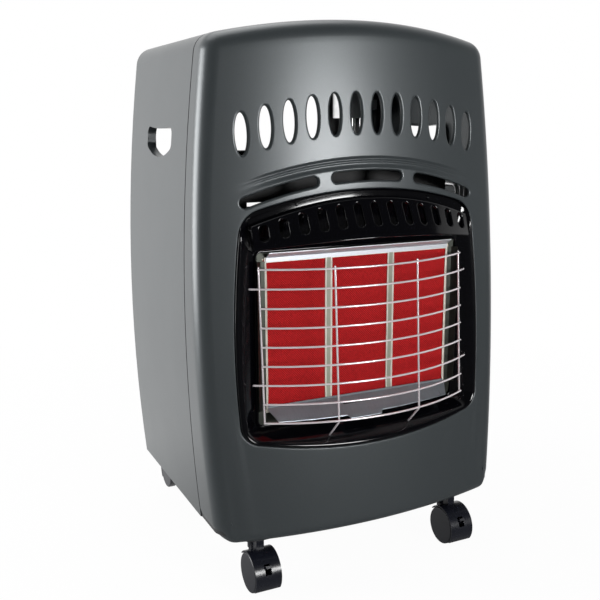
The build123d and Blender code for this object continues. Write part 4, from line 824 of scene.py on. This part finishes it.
for x in (-guard_half, -inner_upright_x, inner_upright_x, guard_half):
    hooked = abs(x) < guard_half
    zs = np.linspace(437.8, 239.0 if hooked else 238.0, 24)
    _, radius = bow(zs)
    back = np.sqrt(radius ** 2 - x * x) / radius
    line = np.stack([x - weld_offset * x / radius, bowed(x, zs) + weld_offset * back, zs], -1)
    if hooked:
        turn = np.radians(np.linspace(0.0, 45.0, 7))[1:, None]
        bend = line[-1] + 6.0 * np.concatenate([0 * turn, 1 - np.cos(turn), -np.sin(turn)], 1)
        slant = np.array([0, 0.7071, -0.7071])
        line = np.concatenate([line, bend, bend[-1] + np.linspace(3.0, 34.0, 6)[:, None] * slant])
    wires.append(grid_mesh(f"upright_{x}", wire(line, (1, 0, 0)), looped=True, material=chrome_and_painted_reflection))
guard = joined("wire_guard", wires)
weld = bmesh.new()
weld.from_mesh(guard.data)
bmesh.ops.remove_doubles(weld, verts=weld.verts, dist=1e-6)
bmesh.ops.recalc_face_normals(weld, faces=weld.faces)
weld.to_mesh(guard.data)
weld.free()
guard.data.shade_smooth()
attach(guard, "cabinet")
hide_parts("burner_guard")


# ---------------------------------------- casing and rear cover
# Both sides and the crown are one folded 1.2 mm sheet, screwed round the tray, and the cover
# is a deep-drawn door that hangs on the tray's rim. Both are in a satin metallic charcoal.
def metallic_coat(name, colour):
    """Satin metallic paint: fine flake sparkle under a soft clear coat."""
    material, tree, shader = new_material(name, colour, 0.37, 0.35)
    shader.inputs["Coat Weight"].default_value = 0.35
    shader.inputs["Coat Roughness"].default_value = 0.28
    darker = tuple(c * 0.80 for c in colour)
    lighter = tuple(c * 1.25 for c in colour)
    vary(tree, shader, "Base Color", grain(tree, 2600.0, 1.0), darker, lighter)
    vary(tree, shader, "Roughness", grain(tree, 14.0), 0.34, 0.40)
    bump(tree, shader, grain(tree, 1200.0, 2.0), 0.00002, 0.35)
    return material


charcoal = metallic_coat("charcoal_paint", (0.046, 0.054, 0.058))
finish_cad(charcoal, "casing", "rear_cover")


# ---------------------------------------- front panel
# Deep-drawn 1.2 mm steel in satin metallic charcoal. Its edge rolls back over the sides
# and crown to the seam, a brow is pressed over the burner opening, and every air slot
# has its rim drawn inwards.
half_width, crown_top = 228.5, 741.0
side_radius, widest_z, crown_radius = 2667.0, 349.0, 938.0
brow_crest, brow_radius = 573.0, 504.0
lip_round, lip_depth = 1.6, 5.0
slot_half_width, slot_half_height, slot_reach = 7.5, 25.5, 3.0
louvre_crest_z, louvre_radius, louvre_half, louvre_reach = 548.0, 469.0, 6.5, 2.6
side_roll, foot_roll, foot_wall = 24.0, 9.0, 16.0
seam_y, seam_lean = -118.1, math.radians(0.7)


def brow(x, z):
    """How far the brow's pressing sets the face back: a sharp step in, half of it out again, a
    second small step and a slow swell back to the face, counted down from the brow's arc and
    fading out towards both ends."""
    down = brow_crest - x * x / (2 * brow_radius) - z
    fade = 1.0 - smooth(np.abs(x), 105.0, 182.0)
    first = 2.3 * smooth(down, 0.0, 4.6) - 1.3 * smooth(down, 4.4, 7.2)
    second = 1.1 * smooth(down, 7.2, 9.6) - 2.1 * smooth(down, 9.8, 17.0)
    return fade * (first + second)


def foot_fold(x, z):
    """A soft upright fold from each lower corner of the opening to the foot: a ridge that
    stands 0.65 mm proud, 11 mm wide towards the middle and 20 mm towards the side."""
    corner_x, corner_z = 189.0, 221.0
    line = corner_x - (corner_z - z) * 15.0 / 129.0
    side = np.abs(x) - line
    raised = smooth(side, -11.0, 0.0) * (1.0 - smooth(side, 4.0, 20.0))
    return -0.65 * raised * (1.0 - smooth(z, corner_z + 1.0, corner_z + 41.0))


outer_edge, outer_out = barrel_path(((half_width - side_radius, widest_z), side_radius),
                                    ((0.0, crown_top - crown_radius), crown_radius),
                                    27.0, 28.0, floor_line=foot_z)


def pressed_shell():
    """The panel's outer face as one grid, ring by ring from the burner opening outwards:
    a lip turned in round the opening, the face, the rolled edge and the wall to the seam.
    The rolled edge is an arc whose centre stays one roll radius inside both the face and
    the outline, carried round the outline."""
    rise = outer_edge[:, 1]
    sideways = smooth(np.abs(outer_out[:, 0]), 0.25, 0.95)
    round_foot = foot_roll + (side_roll - foot_roll) * sideways
    roll = np.where(rise > foot_z + 60.0, side_roll, round_foot)
    centre = outer_edge - roll[:, None] * outer_out
    slope_x = centre[:, 0] / np.sqrt(face_radius ** 2 - centre[:, 0] ** 2) / math.cos(lean)
    slope_z = np.full_like(slope_x, math.tan(lean))
    face_out = unit(np.stack([slope_x, -np.ones_like(slope_x), slope_z], -1))
    centre_y = face_y(centre[:, 0], centre[:, 1]) - roll / face_out[:, 1]
    centre = np.stack([centre[:, 0], centre_y, centre[:, 1]], -1)
    side_out = np.stack([outer_out[:, 0], np.zeros(len(outer_out)), outer_out[:, 1]], -1)
    turn = np.arccos(np.clip((side_out * face_out).sum(-1), -1, 1))
    share = np.linspace(0.0, 1.0, 10)[None, :, None]
    angle = turn[:, None, None]
    blend = (np.sin((1 - share) * angle) * face_out[:, None] +
             np.sin(share * angle) * side_out[:, None]) / np.sin(angle)
    rolled = centre[:, None] + roll[:, None, None] * blend
    contact = rolled[:, 0][:, [0, 2]]

    near = np.linspace(0.0, 0.12, 5)
    brow_rows = np.linspace(0.12, 0.26, 42)[1:]
    far = np.linspace(0.26, 1.0, 20)[1:]
    across = np.concatenate([near, brow_rows, far])[None, :, None]
    edge = inner_edge + lip_round * inner_out
    flat = edge[:, None] * (1 - across) + contact[:, None] * across
    x, z = flat[..., 0], flat[..., 1]
    face = np.stack([x, face_y(x, z) + brow(x, z) + foot_fold(x, z), z], -1)

    bend = np.radians(np.array([85.0, 60.0, 35.0, 12.0]))[None, :]
    lip_x = inner_edge[:, None, 0] + lip_round * (1 - np.sin(bend)) * inner_out[:, None, 0]
    lip_z = inner_edge[:, None, 1] + lip_round * (1 - np.sin(bend)) * inner_out[:, None, 1]
    lip_y = face_y(lip_x, lip_z) + lip_round * (1 - np.cos(bend))
    lip = np.stack([lip_x, lip_y, lip_z], -1)
    root = lip[:, :1] + np.array([0.0, lip_depth, 0.0])

    seam = seam_y + rise * math.tan(seam_lean)
    shut = np.clip((rise - foot_z) / 25.0, 0.0, 1.0)
    stop = (1 - shut) * (rolled[:, -1, 1] + foot_wall) + shut * seam
    wall_share = np.linspace(0.0, 1.0, 6)[None, 1:]
    wall = np.repeat(rolled[:, -1:], 5, axis=1)
    wall[..., 1] += (stop - rolled[:, -1, 1])[:, None] * wall_share
    return np.concatenate([root, lip, face, rolled[:, 1:], wall], 1)


def slot_outline(x, z, grow=0.0, count=40):
    """An upright elliptical slot, 15 by 51 mm, grown outwards along its normals."""
    angle = np.linspace(0.0, 2 * math.pi, count, endpoint=False)
    edge = np.stack([slot_half_width * np.cos(angle), slot_half_height * np.sin(angle)], -1)
    out = unit(np.stack([np.cos(angle) / slot_half_width, np.sin(angle) / slot_half_height], -1))
    return np.array([x, z]) + edge + grow * out, out


def louvre_outline(start, stop, grow=0.0):
    """A 13 mm louvre along an arc round the opening, between two bearings in degrees."""
    centre = np.array([0.0, louvre_crest_z - louvre_radius])
    half = louvre_half + grow
    first, last = centre + louvre_radius * np.stack([np.cos(np.radians([start, stop])),
                                                     np.sin(np.radians([start, stop]))], -1)
    upper, upper_out = arc_points(centre, louvre_radius + half, start, stop, 26)
    far, far_out = arc_points(last, half, stop, stop + 180.0, 12)
    lower, lower_out = arc_points(centre, louvre_radius - half, stop, start, 26)
    near, near_out = arc_points(first, half, start + 180.0, start + 360.0, 12)
    return (np.concatenate([upper, far, lower, near]),
            np.concatenate([upper_out, far_out, -lower_out, near_out]))


def under_face(x, z, deep):
    """The point of the panel at x and z, set back from its face by a depth."""
    return np.stack([x, face_y(x, z) + brow(x, z) + deep, z], -1)


panel_shell = grid_mesh("panel_shell", pressed_shell(), around=True, material=charcoal)
thicken(panel_shell, sheet)
slot_pitch, slot_arc_radius, slot_middle_z = 30.1, 557.0, 626.0
slot_xs = [(i - 5.5) * slot_pitch for i in range(12)]
slot_places = [(x, slot_middle_z - x ** 2 / (2 * slot_arc_radius)) for x in slot_xs]
middle_end, outer_start, outer_end = [math.degrees(math.acos(x / louvre_radius))
                                      for x in (45.0, 77.0, 164.5)]
louvre_spans = [(middle_end, 180.0 - middle_end), (outer_end, outer_start),
                (180.0 - outer_start, 180.0 - outer_end)]
holes = [(slot_outline, place, slot_reach, 1.0) for place in slot_places]
holes += [(louvre_outline, span, louvre_reach, 1.4) for span in louvre_spans]
punch_out(panel_shell, [
    cutter(f"cut_{i}", outline(*place, reach - cut_overlap)[0], under_face)
    for i, (outline, place, reach, depth) in enumerate(holes)])
rims = [grid_mesh(f"rim_{i}", drawn_rim(*outline(*place), reach, depth, under_face),
                  True, True, charcoal) for i, (outline, place, reach, depth) in enumerate(holes)]
panel_sheet = joined("panel_sheet", [panel_shell] + rims)
panel_sheet.data.set_sharp_from_angle(angle=math.radians(40.0))
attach(panel_sheet, "cabinet")
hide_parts("front_panel")


# ---------------------------------------- room
# A pale floor that fades into a white backdrop and shows white in metal and gloss behind the
# heater, four soft boxes, and the photograph's viewpoint.
floor_material, floor_tree, floor_shader = new_material("pale_floor", (0.80, 0.80, 0.80), 0.9)
ray = floor_tree.nodes.new("ShaderNodeLightPath").outputs
away = floor_tree.nodes.new("ShaderNodeVectorMath")
away.operation = "LENGTH"
place = floor_tree.nodes.new("ShaderNodeTexCoord")
floor_tree.links.new(place.outputs["Object"], away.inputs[0])
fade = spread(floor_tree, away.outputs["Value"], 0.965, 1.0, 0.45, 1.30)
behind = spread(floor_tree, coordinates(floor_tree)["Y"], 0.06, 1.0, -0.3, 0.4)
seen = maths(floor_tree, "MULTIPLY", ray["Is Camera Ray"], fade)
amount = maths(floor_tree, "MAXIMUM", seen, ray["Is Glossy Ray"])
glow = mixed(floor_tree, "FLOAT", ray["Is Glossy Ray"], 1.0, behind)
white = floor_tree.nodes.new("ShaderNodeEmission")
white.inputs["Color"].default_value = (1.0, 1.0, 1.0, 1.0)
floor_tree.links.new(glow, white.inputs["Strength"])
mix = floor_tree.nodes.new("ShaderNodeMixShader")
floor_tree.links.new(amount, mix.inputs["Fac"])
floor_tree.links.new(floor_shader.outputs["BSDF"], mix.inputs[1])
floor_tree.links.new(white.outputs["Emission"], mix.inputs[2])
floor_tree.links.new(mix.outputs["Shader"], floor_tree.nodes["Material Output"].inputs["Surface"])
floor_half = 9.0
corners = [(-floor_half, -floor_half, 0), (floor_half, -floor_half, 0),
           (floor_half, floor_half, 0), (-floor_half, floor_half, 0)]
floor_mesh = bpy.data.meshes.new("floor")
floor_mesh.from_pydata(corners, [], [(0, 1, 2, 3)])
floor_mesh.materials.append(floor_material)
floor = bpy.data.objects.new("floor", floor_mesh)
scene.collection.objects.link(floor)

world = bpy.data.worlds.new("studio")
scene.world = world
world.use_nodes = True
sky_tree = world.node_tree
sky = sky_tree.nodes["Background"]
sky.inputs["Color"].default_value = (1.0, 1.0, 1.0, 1.0)
ray = sky_tree.nodes.new("ShaderNodeLightPath").outputs
rear = spread(sky_tree, coordinates(sky_tree, "Generated")["Y"], 0.03, 1.0, -0.25, 0.6)
level = mixed(sky_tree, "FLOAT", ray["Is Glossy Ray"], 0.43, rear)
sky_tree.links.new(maths(sky_tree, "MAXIMUM", ray["Is Camera Ray"], level), sky.inputs["Strength"])


def soft_box(name, place, target, size, watts):
    """A rectangular lamp at a place, turned to face a target."""
    lamp = bpy.data.lights.new(name, "AREA")
    lamp.shape = "RECTANGLE"
    lamp.size, lamp.size_y = size
    lamp.energy = watts
    holder = bpy.data.objects.new(name, lamp)
    scene.collection.objects.link(holder)
    holder.location = place
    holder.rotation_euler = (Vector(target) - Vector(place)).to_track_quat("-Z", "Y").to_euler()


soft_box("front_box", (0.72, -2.44, 0.72), (-0.05, -0.18, 0.57), (0.70, 0.62), 38.0)
soft_box("left_box", (-2.2, 0.9, 0.7), (-0.2, 0.0, 0.36), (1.4, 1.4), 58.0)
soft_box("right_box", (2.4, -0.5, 0.9), (0.0, 0.0, 0.35), (0.7, 1.4), 1.2)
soft_box("top_box", (-0.2, 0.5, 2.3), (0.0, 0.0, 0.40), (2.0, 1.2), 15.0)

lens = bpy.data.cameras.new("viewpoint")
lens.lens = 50.99
lens.sensor_width = 36.0
eye = (-0.55362, -1.13562, 0.61815)
yaw, pitch, roll = math.radians(25.5435), math.radians(11.9903), math.radians(-0.2873)
ahead = Vector((math.sin(yaw) * math.cos(pitch), math.cos(yaw) * math.cos(pitch),
                -math.sin(pitch)))
right = Vector((math.cos(yaw), -math.sin(yaw), 0.0))
up = right.cross(ahead)
right_rolled = right * math.cos(roll) + up * math.sin(roll)
up_rolled = up * math.cos(roll) - right * math.sin(roll)
viewpoint = bpy.data.objects.new("viewpoint", lens)
scene.collection.objects.link(viewpoint)
turned = Matrix((right_rolled, up_rolled, -ahead)).transposed().to_4x4()
viewpoint.matrix_world = Matrix.Translation(eye) @ turned
scene.camera = viewpoint
scene.view_settings.view_transform = "Standard"
